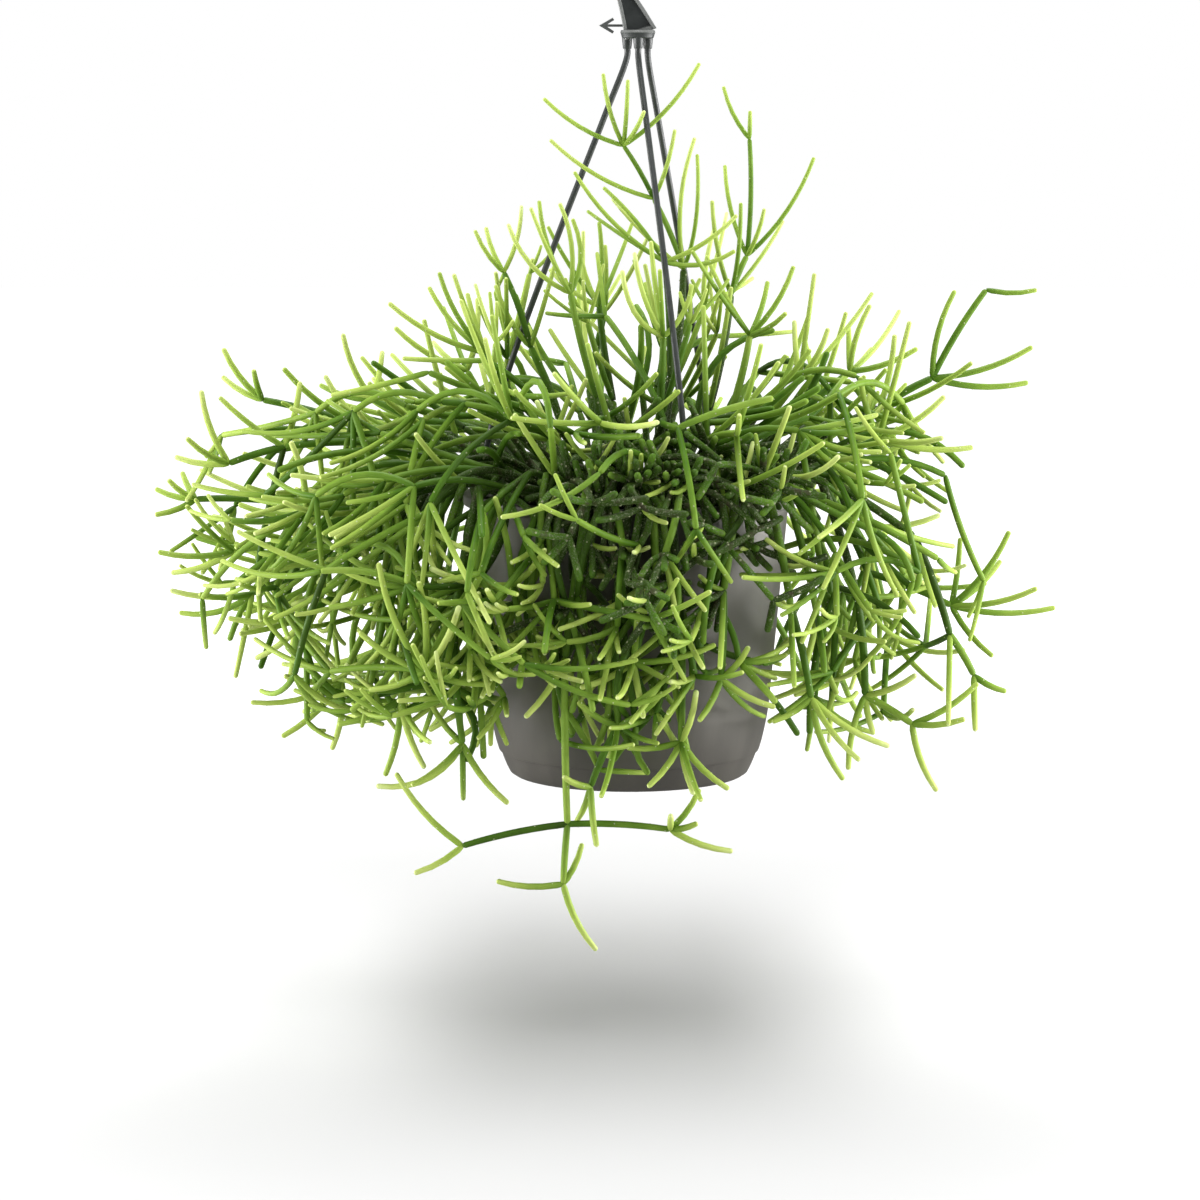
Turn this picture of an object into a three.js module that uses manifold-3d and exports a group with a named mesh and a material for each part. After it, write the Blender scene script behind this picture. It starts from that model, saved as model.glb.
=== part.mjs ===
// A potted Rhipsalis heteroclada, a leafless cactus of jointed stems, in a hanging plastic pot.
// Millimetres, +Z up, +X to the viewer's right, +Y away from the viewer.
// Everything is set out from the pot's bottom centre. The finished group is then moved so that
// its origin is the inner apex of the hook, where the hanging pot is held.
import * as THREE from "three";
import { mergeVertices } from "three/addons/utils/BufferGeometryUtils.js";
import Module from "manifold-3d";

const wasm = await Module();
wasm.setup();

// Pot
const POT_HEIGHT = 141;
const POT_WALL = 1.8;
const POT_SIDES = 28;
const FOOT_RADIUS = 60;
const FOOT_TOP = 35; // the rounded foot ends and the straight wall begins here
const FOOT_TOP_RADIUS = 70.2;
const FOOT_STEPS = 3;
const WALL_TOP_RADIUS = 79.2;
const LIP_RADIUS = 82.5;
const LIP_DEPTH = 6.5;
const BASE_RISE = 1.8; // the base stands clear of the rim that the pot stands on
const DRAIN_COUNT = 6;
const DRAIN_RADIUS = 4;
const DRAIN_RING = 38;

// Lugs inside the lip that the hanger's arms pass through
const LUG_RING = 73.2;
const LUG_WIDTH = 11;
const LUG_THICK = 3;
const LUG_TOP = POT_HEIGHT - 2.5;
const LUG_BORE = 2.1;

// Soil
const SOIL_EDGE = 124.5;
const SOIL_DOME = 2.5;
const SOIL_SIDES = 18;
const FIT = 0.3; // clearance between pieces that touch
const ROOT_DEPTH = 12;
const ROOT_SIDES = 4;

// Hanger
const HEAD_X = 4;
const HEAD_BOTTOM = 366;
const HOOK_CENTRE = [4, 421]; // x and z of the middle of the hook's bend
const HOOK_INNER_RADIUS = 14;
const STRAP_HALF = 4.2;
const STRAP_DEPTH = 8;
const WEB_DEPTH = 2.4;
const RIB = 1.8;
const STRAP_STEPS = 16;
const HUB_RADIUS = 8.6;
const HUB_DEPTH = 4;
const SOCKET_RING = 5.2;
const SOCKET_RADIUS = 2.6;
const SOCKET_LENGTH = 7;
const SOCKET_BORE = 1.8;
const ARM_RADIUS = 1.5;
const ARM_STEPS = 12;
// Degrees from +X: of the lugs round the pot, and of the sockets round the hub
const ARM_TURNS = { left: 175, front: -68, back: 55 };
const SOCKET_TURNS = { left: 175, front: -88, back: 20 };
const BARB_RADIUS = 3.2;
const BARB_LENGTH = 8;
// An arm's sweep from its socket to its lug: height, and share of the way outwards
const ARM_SWEEP = [
  [360, 0],
  [355.5, 0],
  [327, 0.15],
  [267, 0.48],
  [203, 0.81],
  [162, 0.975],
  [146, 1],
];

// Stems
const STEM_ROOT_RADIUS = 2.6;
const STEM_END_RADIUS = 1.9;
const SHOOT_RADIUS = 1.75;
const SHOOT_TIP = 0.75; // radius of a shoot's tip, as a share of its middle's
const SHOOT_NECK = 0.42; // and of its root, where it is pinched at the joint
const STEM_SIDES = 4;
const SHOOT_SIDES = 3;
const LEAST_FORK = 26; // degrees between shoots of one joint
const CLEARANCE = 1.2; // least air between stems of different sprays
const TRIES = 40;
const ROUNDS = 3;
const SHOOT_LENGTH = [38, 66];
const SHOOT_RISE = [0.1, 0.7]; // pull upwards on a shoot's outer half
const SPREAD = [24, 62]; // degrees between a shoot and the stem that carries it
const PLANT_TOP = 353; // no stem reaches into the hanger's head
const REACH = { x: [-222, 192], y: [-150, 150], z: [-5, 290] }; // of shoots that aren't placed

// Vectors
const vec = (x, y, z) => new THREE.Vector3(x, y, z);
const UP = vec(0, 0, 1);
const radians = (degrees) => (degrees * Math.PI) / 180;

// Solids
function solid(geometry) {
  geometry.deleteAttribute("normal");
  geometry.deleteAttribute("uv");
  const merged = mergeVertices(geometry, 1e-4);
  return new wasm.Manifold(
    new wasm.Mesh({
      numProp: 3,
      vertProperties: merged.attributes.position.array,
      triVerts: new Uint32Array(merged.index.array),
    }),
  );
}

function placed(geometry, x, y, z) {
  geometry.translate(x, y, z);
  return solid(geometry);
}

const upright = (geometry) => geometry.rotateX(Math.PI / 2);
const joined = (solids) => solids.reduce((all, one) => all.add(one));

function meshOf(name, made, material) {
  const { numProp, vertProperties, triVerts } = made.getMesh();
  const position = new Float32Array((vertProperties.length / numProp) * 3);
  for (let i = 0; i < position.length / 3; i++) {
    position.set(vertProperties.subarray(i * numProp, i * numProp + 3), i * 3);
  }
  const geometry = new THREE.BufferGeometry();
  geometry.setAttribute("position", new THREE.BufferAttribute(position, 3));
  geometry.setIndex(new THREE.BufferAttribute(triVerts, 1));
  geometry.computeVertexNormals();
  const mesh = new THREE.Mesh(geometry, material);
  mesh.name = name;
  return mesh;
}

const plastic = (color) =>
  new THREE.MeshStandardMaterial({ color, roughness: 0.55, metalness: 0 });

// Pot

// The outside of the wall from foot to lip, or the inside when it is offset by the wall.
function wallProfile(inset) {
  const foot = new THREE.QuadraticBezierCurve(
    new THREE.Vector2(FOOT_RADIUS + 0.8 - inset, 1.2),
    new THREE.Vector2(FOOT_TOP_RADIUS - 3 - inset, 13),
    new THREE.Vector2(FOOT_TOP_RADIUS - inset, FOOT_TOP),
  );
  return foot.getPoints(FOOT_STEPS);
}

function makePot() {
  const point = (x, z) => new THREE.Vector2(x, z);
  const lipBottom = POT_HEIGHT - LIP_DEPTH;
  const inner = wallProfile(POT_WALL).filter((p) => p.y > BASE_RISE + POT_WALL + 1);
  const profile = [
    point(0, BASE_RISE),
    point(FOOT_RADIUS - 5, BASE_RISE),
    point(FOOT_RADIUS - 3.5, 0),
    point(FOOT_RADIUS - 0.6, 0),
    ...wallProfile(0),
    point(WALL_TOP_RADIUS, lipBottom),
    point(LIP_RADIUS, lipBottom + 0.8),
    point(LIP_RADIUS, POT_HEIGHT - 1.4),
    point(LIP_RADIUS - 1.4, POT_HEIGHT),
    point(WALL_TOP_RADIUS - POT_WALL + 0.8, POT_HEIGHT),
    point(WALL_TOP_RADIUS - POT_WALL, POT_HEIGHT - 1),
    ...inner.reverse(),
    point(FOOT_RADIUS - 1, BASE_RISE + POT_WALL),
    point(0, BASE_RISE + POT_WALL),
  ];
  let pot = solid(upright(new THREE.LatheGeometry(profile, POT_SIDES)));

  for (const turn of Object.values(ARM_TURNS)) {
    const lug = new THREE.BoxGeometry(WALL_TOP_RADIUS - LUG_RING + 4, LUG_WIDTH, LUG_THICK);
    lug.translate((WALL_TOP_RADIUS + LUG_RING - 5.5) / 2, 0, LUG_TOP - LUG_THICK / 2);
    const bore = upright(new THREE.CylinderGeometry(LUG_BORE, LUG_BORE, LUG_THICK * 3, 10));
    bore.translate(LUG_RING, 0, LUG_TOP);
    pot = pot.add(solid(lug.rotateZ(radians(turn)))).subtract(solid(bore.rotateZ(radians(turn))));
  }

  for (let i = 0; i < DRAIN_COUNT; i++) {
    const turn = ((i + 0.5) * 2 * Math.PI) / DRAIN_COUNT;
    const drain = upright(new THREE.CylinderGeometry(DRAIN_RADIUS, DRAIN_RADIUS, 20, 6));
    pot = pot.subtract(
      placed(drain, DRAIN_RING * Math.cos(turn), DRAIN_RING * Math.sin(turn), BASE_RISE),
    );
  }
  return meshOf("pot", pot, plastic(0x787069));
}

// Soil
const soilTop = (radius) => SOIL_EDGE + SOIL_DOME * (1 - (radius / WALL_TOP_RADIUS) ** 2);

function makeSoil(roots) {
  const point = (x, z) => new THREE.Vector2(x, z);
  const floor = BASE_RISE + POT_WALL + FIT;
  const inset = POT_WALL + FIT;
  const edge = FOOT_TOP_RADIUS + (WALL_TOP_RADIUS - FOOT_TOP_RADIUS) * 0.88 - inset - 0.4;
  const profile = [
    point(0, floor),
    point(FOOT_RADIUS - 2.5, floor),
    ...wallProfile(inset + 0.2).filter((p) => p.y > floor + 1),
    point(edge, soilTop(edge)),
    point(45, soilTop(45)),
    point(0, soilTop(0)),
  ];
  let soil = solid(upright(new THREE.LatheGeometry(profile, SOIL_SIDES)));
  for (const [x, y] of roots) {
    const radius = (STEM_ROOT_RADIUS + FIT) / Math.cos(Math.PI / ROOT_SIDES);
    const hole = upright(new THREE.CylinderGeometry(radius, radius, ROOT_DEPTH * 2, ROOT_SIDES));
    soil = soil.subtract(placed(hole, x, y, soilTop(Math.hypot(x, y))));
  }
  const peat = new THREE.MeshStandardMaterial({ color: 0x2c211a, roughness: 1, metalness: 0 });
  return meshOf("soil", soil, peat);
}

// Hanger

// The strap's middle line in the XZ plane: up from the plate, leaning left, then round the hook.
const strapLine = new THREE.CatmullRomCurve3(
  [
    vec(HEAD_X + 1.5, 0, HEAD_BOTTOM),
    vec(HEAD_X - 2, 0, HEAD_BOTTOM + 9),
    vec(HEAD_X - 6, 0, HEAD_BOTTOM + 18),
    vec(HEAD_X - 14.5, 0, HEAD_BOTTOM + 36),
    ...[185, 155, 120, 90, 55, 20, -15, -40].map((degrees) => {
      const radius = HOOK_INNER_RADIUS + STRAP_HALF;
      const x = HOOK_CENTRE[0] + radius * Math.cos(radians(degrees));
      return vec(x, 0, HOOK_CENTRE[1] + radius * Math.sin(radians(degrees)));
    }),
  ],
  false,
  "centripetal",
);

// The strap is broad where it meets the plate's foot and even from there on.
const strapHalf = (t) => STRAP_HALF + 4 * Math.max(0, 1 - t / 0.16);

function strapOutline(inset, start, end) {
  const left = [];
  const right = [];
  for (let i = 0; i <= STRAP_STEPS; i++) {
    const t = start + ((end - start) * i) / STRAP_STEPS;
    const at = strapLine.getPointAt(t);
    const along = strapLine.getTangentAt(t);
    const half = strapHalf(t) - inset;
    left.push(new THREE.Vector2(at.x - along.z * half, at.z + along.x * half));
    right.push(new THREE.Vector2(at.x + along.z * half, at.z - along.x * half));
  }
  return [...right, ...left.reverse()];
}

// An outline in XZ given thickness along Y, centred on Y = 0.
function slab(shape, depth) {
  const geometry = new THREE.ExtrudeGeometry(shape, { depth, bevelEnabled: false });
  return solid(upright(geometry).translate(0, depth / 2, 0));
}

const barbOutline = [
  [2, 370.8],
  [-11.2, 370.8],
  [-7.6, 373],
  [-8.3, 374],
  [-15, 370.2],
  [-8.4, 366.3],
  [-7.7, 367.3],
  [-11.2, 369.6],
  [2, 369.6],
];

function armTop(side) {
  const turn = radians(SOCKET_TURNS[side]);
  const x = HEAD_X + SOCKET_RING * Math.cos(turn);
  return vec(x, SOCKET_RING * Math.sin(turn), HEAD_BOTTOM - 3);
}

function makeHook() {
  const rim = new THREE.Shape(strapOutline(0, 0, 1));
  rim.holes.push(new THREE.Path(strapOutline(RIB, 0.02, 0.985)));
  const web = new THREE.Shape(strapOutline(RIB / 2, 0.01, 0.99));
  const label = new THREE.Shape(barbOutline.map(([x, z]) => new THREE.Vector2(x, z)));
  const hub = upright(new THREE.CylinderGeometry(HUB_RADIUS, HUB_RADIUS - 0.6, HUB_DEPTH, 12));
  let hook = joined([
    slab(rim, STRAP_DEPTH),
    slab(web, WEB_DEPTH),
    slab(label, 2),
    placed(hub, HEAD_X, 0, HEAD_BOTTOM),
  ]);
  for (const side of Object.keys(SOCKET_TURNS)) {
    const top = armTop(side);
    const socket = upright(
      new THREE.CylinderGeometry(SOCKET_RADIUS, SOCKET_RADIUS - 0.2, SOCKET_LENGTH, 8),
    );
    const bore = upright(new THREE.CylinderGeometry(SOCKET_BORE, SOCKET_BORE, SOCKET_LENGTH, 8));
    hook = hook.add(placed(socket, top.x, top.y, HEAD_BOTTOM - SOCKET_LENGTH / 2));
    hook = hook.subtract(placed(bore, top.x, top.y, top.z + FIT - SOCKET_LENGTH / 2));
  }
  return meshOf("hanger_hook", hook, plastic(0x33383a));
}

function armLine(side) {
  const top = armTop(side);
  const turn = ARM_TURNS[side];
  const lug = vec(LUG_RING * Math.cos(radians(turn)), LUG_RING * Math.sin(radians(turn)), 0);
  const sweep = ARM_SWEEP.map(([height, share]) =>
    vec(top.x + (lug.x - top.x) * share, top.y + (lug.y - top.y) * share, height),
  );
  const barbTop = LUG_TOP - LUG_THICK - FIT;
  const points = [top, ...sweep, vec(lug.x, lug.y, barbTop - BARB_LENGTH + 1.2)];
  return new THREE.CatmullRomCurve3(points, false, "centripetal");
}

function makeArm(side) {
  const line = armLine(side);
  const points = line.getPoints(ARM_STEPS);
  const arm = tubeSolid({ points, radii: points.map(() => ARM_RADIUS), sides: 6 });
  const barb = upright(new THREE.CylinderGeometry(BARB_RADIUS, ARM_RADIUS - 0.3, BARB_LENGTH, 8));
  const foot = line.getPoint(1);
  const barbMiddle = LUG_TOP - LUG_THICK - FIT - BARB_LENGTH / 2;
  const made = arm.add(placed(barb, foot.x, foot.y, barbMiddle));
  return meshOf("hanger_arm_" + side, made, plastic(0x2b2f31));
}

// Plant

// Each spray has a root on the soil [x, y], the joints of its main stem [x, y, z], how many
// shoots each joint carries beside the placed ones, and placed shoot tips [joint, x, y, z],
// with joints counted from 1. A branch leaves a joint of the main stem and is one itself.
const SPRAYS = [
  {
    name: "spray_top_01",
    root: [10, 5],
    stem: [[20, 8, 190], [27, 10, 251], [12, 2, 286], [-3, -8, 312]],
    shoots: [1, 1, 0, 0],
    tips: [
      [4, -13, -18, 347], [4, -1, -22, 344], [4, -42, -20, 335], [4, 34, -16, 352],
      [4, 7, -24, 329], [3, -39, -14, 315], [3, 22, -18, 320], [2, 32, -6, 316], [2, 33, 2, 308],
    ],
  },
  {
    name: "spray_top_02",
    root: [5, -12],
    stem: [[20, -20, 200], [17, -24, 256]],
    shoots: [1, 1],
    tips: [[2, -27, -38, 300], [2, -13, -30, 292], [2, 52, -30, 279], [2, 51, -36, 262]],
  },
  {
    name: "spray_top_03",
    root: [22, 12],
    stem: [[40, 18, 180], [51, 22, 238], [59, 24, 257], [60, 26, 315]],
    shoots: [1, 1, 0, 0],
    tips: [
      [4, 47, 30, 341], [4, 60, 20, 329], [3, 92, 20, 306], [3, 67, 10, 281],
      [3, 48, 32, 302], [2, 41, 10, 285], [2, 55, 4, 284],
    ],
  },
  {
    name: "spray_top_04",
    root: [24, -6],
    stem: [[48, -14, 176], [59, -18, 220]],
    shoots: [1, 2],
    tips: [[2, 80, -22, 254], [2, 76, -34, 232], [2, 68, -8, 246], [1, 88, -30, 214]],
  },
  {
    name: "spray_top_05",
    root: [-17, 3],
    stem: [[-34, 2, 175], [-49, 0, 213], [-62, -2, 250]],
    shoots: [1, 1, 0],
    tips: [[3, -76, -8, 271], [3, -71, 6, 272], [3, -53, -8, 283], [2, -66, 14, 244]],
  },
  {
    name: "spray_top_06",
    root: [-8, -14],
    stem: [[-16, -22, 190], [-29, -28, 241]],
    shoots: [1, 1],
    tips: [[2, -44, -30, 286], [2, -34, -40, 285], [2, -28, -22, 277], [2, -59, -36, 275]],
  },
  {
    name: "spray_top_07",
    root: [-3, 12],
    stem: [[-8, 18, 185], [-15, 22, 232]],
    shoots: [1, 1],
    tips: [[2, -15, 24, 274], [2, -24, 32, 256], [2, -40, 34, 250]],
  },
  {
    name: "spray_top_08",
    root: [14, -22],
    stem: [[14, -38, 178], [16, -46, 221]],
    shoots: [1, 1],
    tips: [[2, 2, -54, 262], [2, 10, -44, 267], [2, -4, -60, 254], [2, 30, -52, 246]],
  },
  {
    name: "spray_top_09",
    root: [-12, 20],
    stem: [[-20, 38, 190], [-12, 46, 228]],
    shoots: [1, 2],
    tips: [[2, -12, 40, 262]],
  },
  {
    name: "spray_top_10",
    root: [12, 24],
    stem: [[26, 42, 188], [38, 52, 232]],
    shoots: [1, 2],
    tips: [[2, 44, 62, 270]],
  },
  {
    name: "spray_left_01",
    root: [-27, -3],
    stem: [[-52, -8, 176], [-71, -12, 211]],
    shoots: [1, 1],
    tips: [[2, -118, -20, 236], [2, -93, -22, 251], [2, -99, -4, 243], [2, -80, -4, 240]],
  },
  {
    name: "spray_left_02",
    root: [-34, 8],
    stem: [[-68, 14, 172], [-81, 16, 200]],
    shoots: [1, 1],
    tips: [[2, -117, 14, 222], [2, -99, 30, 214], [2, -76, 26, 236]],
  },
  {
    name: "spray_left_03",
    root: [-37, 0],
    stem: [[-86, 6, 168], [-129, 8, 171], [-183, 10, 186]],
    shoots: [1, 1, 0],
    tips: [
      [3, -202, 8, 212], [3, -204, 20, 197], [3, -186, -2, 202], [2, -171, -6, 203],
      [2, -152, 14, 198],
    ],
  },
  {
    name: "spray_left_04",
    root: [-31, 17],
    stem: [[-64, 36, 166], [-110, 44, 173], [-130, 46, 183]],
    shoots: [1, 1, 0],
    tips: [[3, -145, 44, 217], [3, -126, 62, 207], [3, -158, 56, 190]],
  },
  {
    name: "spray_left_05",
    root: [-35, -8],
    stem: [[-90, -18, 170], [-130, -24, 168], [-169, -28, 166], [-196, -30, 158]],
    shoots: [1, 1, 1, 0],
    tips: [[4, -209, -30, 194], [4, -215, -44, 172], [4, -223, -26, 161], [3, -162, -14, 197]],
  },
  {
    name: "spray_left_06",
    root: [-49, 14],
    stem: [[-92, 24, 150], [-135, 28, 138], [-174, 24, 133], [-218, 20, 135]],
    shoots: [1, 1, 1, 0],
    tips: [[4, -231, 12, 146], [4, -226, 30, 148], [4, -239, 24, 140], [4, -238, 12, 128]],
  },
  {
    name: "spray_left_07",
    root: [-51, -5],
    stem: [[-100, -10, 154], [-150, -14, 118], [-196, -16, 113]],
    shoots: [1, 1, 1],
    tips: [[3, -233, -18, 113], [3, -228, -6, 101], [2, -176, 2, 128]],
  },
  {
    name: "spray_left_08",
    root: [-41, -30],
    stem: [[-84, -46, 150], [-122, -56, 140], [-156, -60, 136]],
    shoots: [1, 1, 1],
    tips: [[3, -163, -62, 172], [3, -189, -56, 141], [3, -186, -70, 128]],
  },
  {
    name: "spray_left_09",
    root: [-51, 4],
    stem: [[-104, 6, 152], [-150, 0, 104], [-188, -2, 90]],
    shoots: [1, 1, 1],
    tips: [[3, -229, -4, 92], [3, -213, -18, 92], [3, -226, 8, 79]],
    branches: [{ joint: 1, stem: [[-118, 24, 104], [-122, 30, 60]], shoots: [1, 3], tips: [] }],
  },
  {
    name: "spray_left_10",
    root: [-45, 24],
    stem: [[-92, 44, 152], [-136, 50, 112], [-168, 46, 84]],
    shoots: [1, 1, 2],
    tips: [[3, -203, 44, 76], [3, -198, 34, 66]],
    branches: [{ joint: 1, stem: [[-98, 62, 100], [-102, 66, 58]], shoots: [1, 3], tips: [] }],
  },
  {
    name: "spray_left_11",
    root: [-46, -22],
    stem: [[-98, -34, 152], [-128, -40, 104], [-158, -42, 84]],
    shoots: [1, 1, 2],
    tips: [[3, -196, -46, 84], [3, -184, -34, 62]],
  },
  {
    name: "spray_hang_01",
    root: [-21, -46],
    stem: [[-60, -86, 152], [-74, -98, 108], [-97, -110, 68]],
    shoots: [0, 1, 0],
    tips: [
      [3, -128, -106, 86], [3, -118, -114, 120], [3, -99, -122, 112], [3, -80, -124, 101],
      [3, -124, -98, 57], [3, -66, -112, 62],
    ],
  },
  {
    name: "spray_hang_02",
    root: [-12, -49],
    stem: [[-36, -88, 158], [-56, -98, 107]],
    shoots: [1, 0],
    tips: [
      [2, -40, -110, 126], [2, -64, -106, 150], [2, -94, -100, 117], [2, -70, -112, 96],
      [2, -34, -98, 82], [2, -86, -92, 86],
    ],
  },
  {
    name: "spray_hang_03",
    root: [-4, -51],
    stem: [[-18, -92, 160], [-31, -102, 73], [-30, -102, -7]],
    shoots: [0, 1, 0],
    tips: [[2, -50, -112, 46]],
    branches: [
      {
        joint: 3,
        stem: [[-80, -100, -18]],
        shoots: [0],
        tips: [[1, -112, -92, 16], [1, -103, -106, -30]],
      },
      {
        joint: 3,
        stem: [[19, -100, -10]],
        shoots: [0],
        tips: [[1, 33, -96, 9], [1, 19, -108, -1], [1, 32, -104, -6], [1, 49, -98, -21]],
      },
      {
        joint: 3,
        stem: [[-32, -102, -36]],
        shoots: [0],
        tips: [[1, -64, -100, -35], [1, -23, -98, -17], [1, -16, -100, -69]],
      },
    ],
  },
  {
    name: "spray_hang_04",
    root: [6, -34],
    stem: [[9, -86, 164], [12, -102, 112], [1, -108, 72]],
    shoots: [0, 1, 1],
    tips: [[3, -24, -110, 60], [3, 3, -112, 97], [3, 40, -106, 80], [3, 6, -114, 46]],
  },
  {
    name: "spray_hang_05",
    root: [4, -51],
    stem: [[0, -94, 152], [-8, -100, 92], [-6, -100, 40], [-19, -102, 11]],
    shoots: [0, 1, 1, 0],
    tips: [
      [3, -25, -108, 53], [3, 15, -110, 58], [4, -32, -106, 18], [4, -26, -98, -8],
      [4, -16, -106, -16],
    ],
  },
  {
    name: "spray_hang_06",
    root: [14, -49],
    stem: [[18, -92, 152], [24, -98, 88], [24, -98, 32]],
    shoots: [0, 1, 1],
    tips: [
      [3, -2, -102, 30], [3, 31, -104, 58], [3, 47, -98, 9], [3, 30, -106, 8],
      [3, 8, -108, 12],
    ],
  },
  {
    name: "spray_hang_07",
    root: [26, -44],
    stem: [[50, -84, 152], [44, -94, 104], [43, -96, 62]],
    shoots: [1, 1, 1],
    tips: [[3, 69, -94, 48], [3, 32, -104, 44], [3, 56, -98, 78]],
  },
  {
    name: "spray_hang_08",
    root: [39, -33],
    stem: [[72, -66, 156], [90, -68, 88]],
    shoots: [1, 2],
    tips: [[2, 100, -70, 50], [2, 82, -78, 58]],
  },
  {
    name: "spray_hang_09",
    root: [-35, -37],
    stem: [[-80, -66, 152], [-96, -80, 94], [-110, -84, 50]],
    shoots: [1, 1, 1],
    tips: [[3, -140, -84, 38], [3, -118, -80, 12], [3, -98, -92, 18]],
  },
  {
    name: "spray_hang_10",
    root: [-49, -14],
    stem: [[-96, -22, 152], [-122, -26, 88], [-142, -28, 50]],
    shoots: [1, 1, 1],
    tips: [[3, -172, -28, 22], [3, -170, -36, 54], [3, -148, -20, 14]],
  },
  {
    name: "spray_hang_11",
    root: [-28, -42],
    stem: [[-72, -82, 152], [-84, -92, 84], [-80, -92, 30]],
    shoots: [0, 1, 1],
    tips: [[3, -122, -90, 8], [3, -104, -98, 12], [3, -58, -98, 2], [3, -96, -86, 50]],
  },
  {
    name: "spray_front_01",
    root: [-20, -35],
    stem: [[-34, -62, 172], [-56, -84, 184]],
    shoots: [2, 3],
    tips: [],
  },
  {
    name: "spray_front_02",
    root: [-6, -40],
    stem: [[-8, -68, 174], [-14, -100, 184]],
    shoots: [2, 3],
    tips: [],
  },
  {
    name: "spray_front_03",
    root: [24, -35],
    stem: [[37, -58, 172], [50, -86, 178]],
    shoots: [2, 3],
    tips: [],
  },
  {
    name: "spray_right_01",
    root: [36, 9],
    stem: [[84, 10, 160], [125, 10, 182], [151, 8, 197], [177, 6, 241]],
    shoots: [1, 1, 0, 0],
    tips: [
      [4, 202, 4, 241], [3, 161, 0, 241], [3, 200, 2, 213], [3, 200, 18, 194],
      [2, 133, 20, 218],
    ],
  },
  {
    name: "spray_right_02",
    root: [50, -8],
    stem: [[90, -20, 152], [122, -26, 170]],
    shoots: [1, 1],
    tips: [[2, 154, -28, 191], [2, 112, -36, 201], [2, 152, -44, 172], [2, 169, -20, 165]],
  },
  {
    name: "spray_right_03",
    root: [31, 19],
    stem: [[76, 32, 166], [112, 38, 198]],
    shoots: [1, 1],
    tips: [[2, 122, 36, 232], [2, 112, 50, 220], [2, 146, 36, 210]],
  },
  {
    name: "spray_right_04",
    root: [34, 2],
    stem: [[66, 0, 172], [84, -4, 197]],
    shoots: [1, 2],
    tips: [[2, 98, -8, 223], [2, 82, 6, 226]],
  },
  {
    name: "spray_right_05",
    root: [48, -17],
    stem: [[90, -36, 154], [138, -48, 124], [156, -48, 76], [168, -48, 56]],
    shoots: [1, 1, 1, 1],
    tips: [[4, 184, -48, 48], [4, 168, -58, 30]],
  },
  {
    name: "spray_right_06",
    root: [51, 2],
    stem: [[100, 4, 152], [120, 2, 100], [161, -2, 84]],
    shoots: [1, 1, 0],
    tips: [
      [3, 189, -6, 122], [3, 187, 12, 105], [3, 202, -18, 95], [3, 213, -2, 83],
      [3, 181, -14, 60], [3, 166, 8, 117],
    ],
    branches: [{ joint: 2, stem: [[114, 14, 54]], shoots: [3], tips: [] }],
  },
  {
    name: "spray_right_07",
    root: [45, -25],
    stem: [[92, -54, 152], [110, -60, 94], [114, -60, 48], [137, -60, 34]],
    shoots: [0, 1, 0, 0],
    tips: [
      [3, 106, -64, 12], [3, 119, -50, 28], [3, 138, -70, 60], [4, 169, -58, 54],
      [4, 162, -68, 38], [4, 150, -56, 0],
    ],
  },
  {
    name: "spray_right_08",
    root: [33, -39],
    stem: [[63, -79, 158], [76, -90, 96], [86, -92, 52]],
    shoots: [1, 1, 1],
    tips: [[3, 124, -88, 28], [3, 67, -100, 42], [3, 102, -90, 12]],
  },
  {
    name: "spray_right_09",
    root: [49, 12],
    stem: [[98, 26, 152], [124, 28, 120]],
    shoots: [1, 3],
    tips: [[2, 158, 30, 126], [2, 146, 20, 92]],
  },
  {
    name: "spray_right_10",
    root: [44, 22],
    stem: [[88, 48, 154], [124, 52, 104], [134, 48, 62]],
    shoots: [1, 2, 3],
    tips: [],
  },
  {
    name: "spray_back_01",
    root: [-21, 47],
    stem: [[-44, 90, 158], [-60, 116, 118]],
    shoots: [1, 3],
    tips: [[2, -78, 132, 84]],
  },
  {
    name: "spray_back_02",
    root: [3, 51],
    stem: [[4, 94, 156], [6, 114, 100], [4, 116, 50]],
    shoots: [1, 1, 3],
    tips: [],
  },
  {
    name: "spray_back_03",
    root: [25, 44],
    stem: [[48, 92, 160], [76, 118, 128]],
    shoots: [1, 3],
    tips: [[2, 98, 134, 100]],
  },
  {
    name: "spray_back_04",
    root: [-24, 24],
    stem: [[-74, 68, 164], [-108, 90, 168]],
    shoots: [1, 3],
    tips: [[2, -134, 106, 190]],
  },
  {
    name: "spray_back_05",
    root: [24, 25],
    stem: [[72, 62, 168], [100, 84, 184]],
    shoots: [1, 3],
    tips: [[2, 128, 100, 206]],
  },
  {
    name: "spray_back_06",
    root: [-5, 34],
    stem: [[-14, 66, 184], [-24, 86, 212]],
    shoots: [1, 3],
    tips: [[2, -26, 108, 246]],
  },
  {
    name: "spray_back_07",
    root: [-35, 37],
    stem: [[-80, 84, 152], [-94, 98, 92], [-98, 100, 44]],
    shoots: [1, 1, 2],
    tips: [[3, -112, 106, 8]],
  },
  {
    name: "spray_back_09",
    root: [-12, 46],
    stem: [[-24, 94, 152], [-36, 110, 96], [-44, 112, 52]],
    shoots: [1, 2, 3],
    tips: [],
  },
  {
    name: "spray_back_08",
    root: [40, 31],
    stem: [[84, 74, 152], [104, 90, 94], [110, 92, 46]],
    shoots: [1, 1, 2],
    tips: [[3, 124, 98, 10]],
  },
];

// A small linear congruential generator, so that every spray grows the same way each time.
function dice(seed) {
  let state = seed;
  return ([low, high]) => {
    state = (state * 48271) % 2147483647;
    return low + ((high - low) * state) / 2147483647;
  };
}

// Stretches of stem and hanger that other stems keep clear of
const stretches = [];

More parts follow.
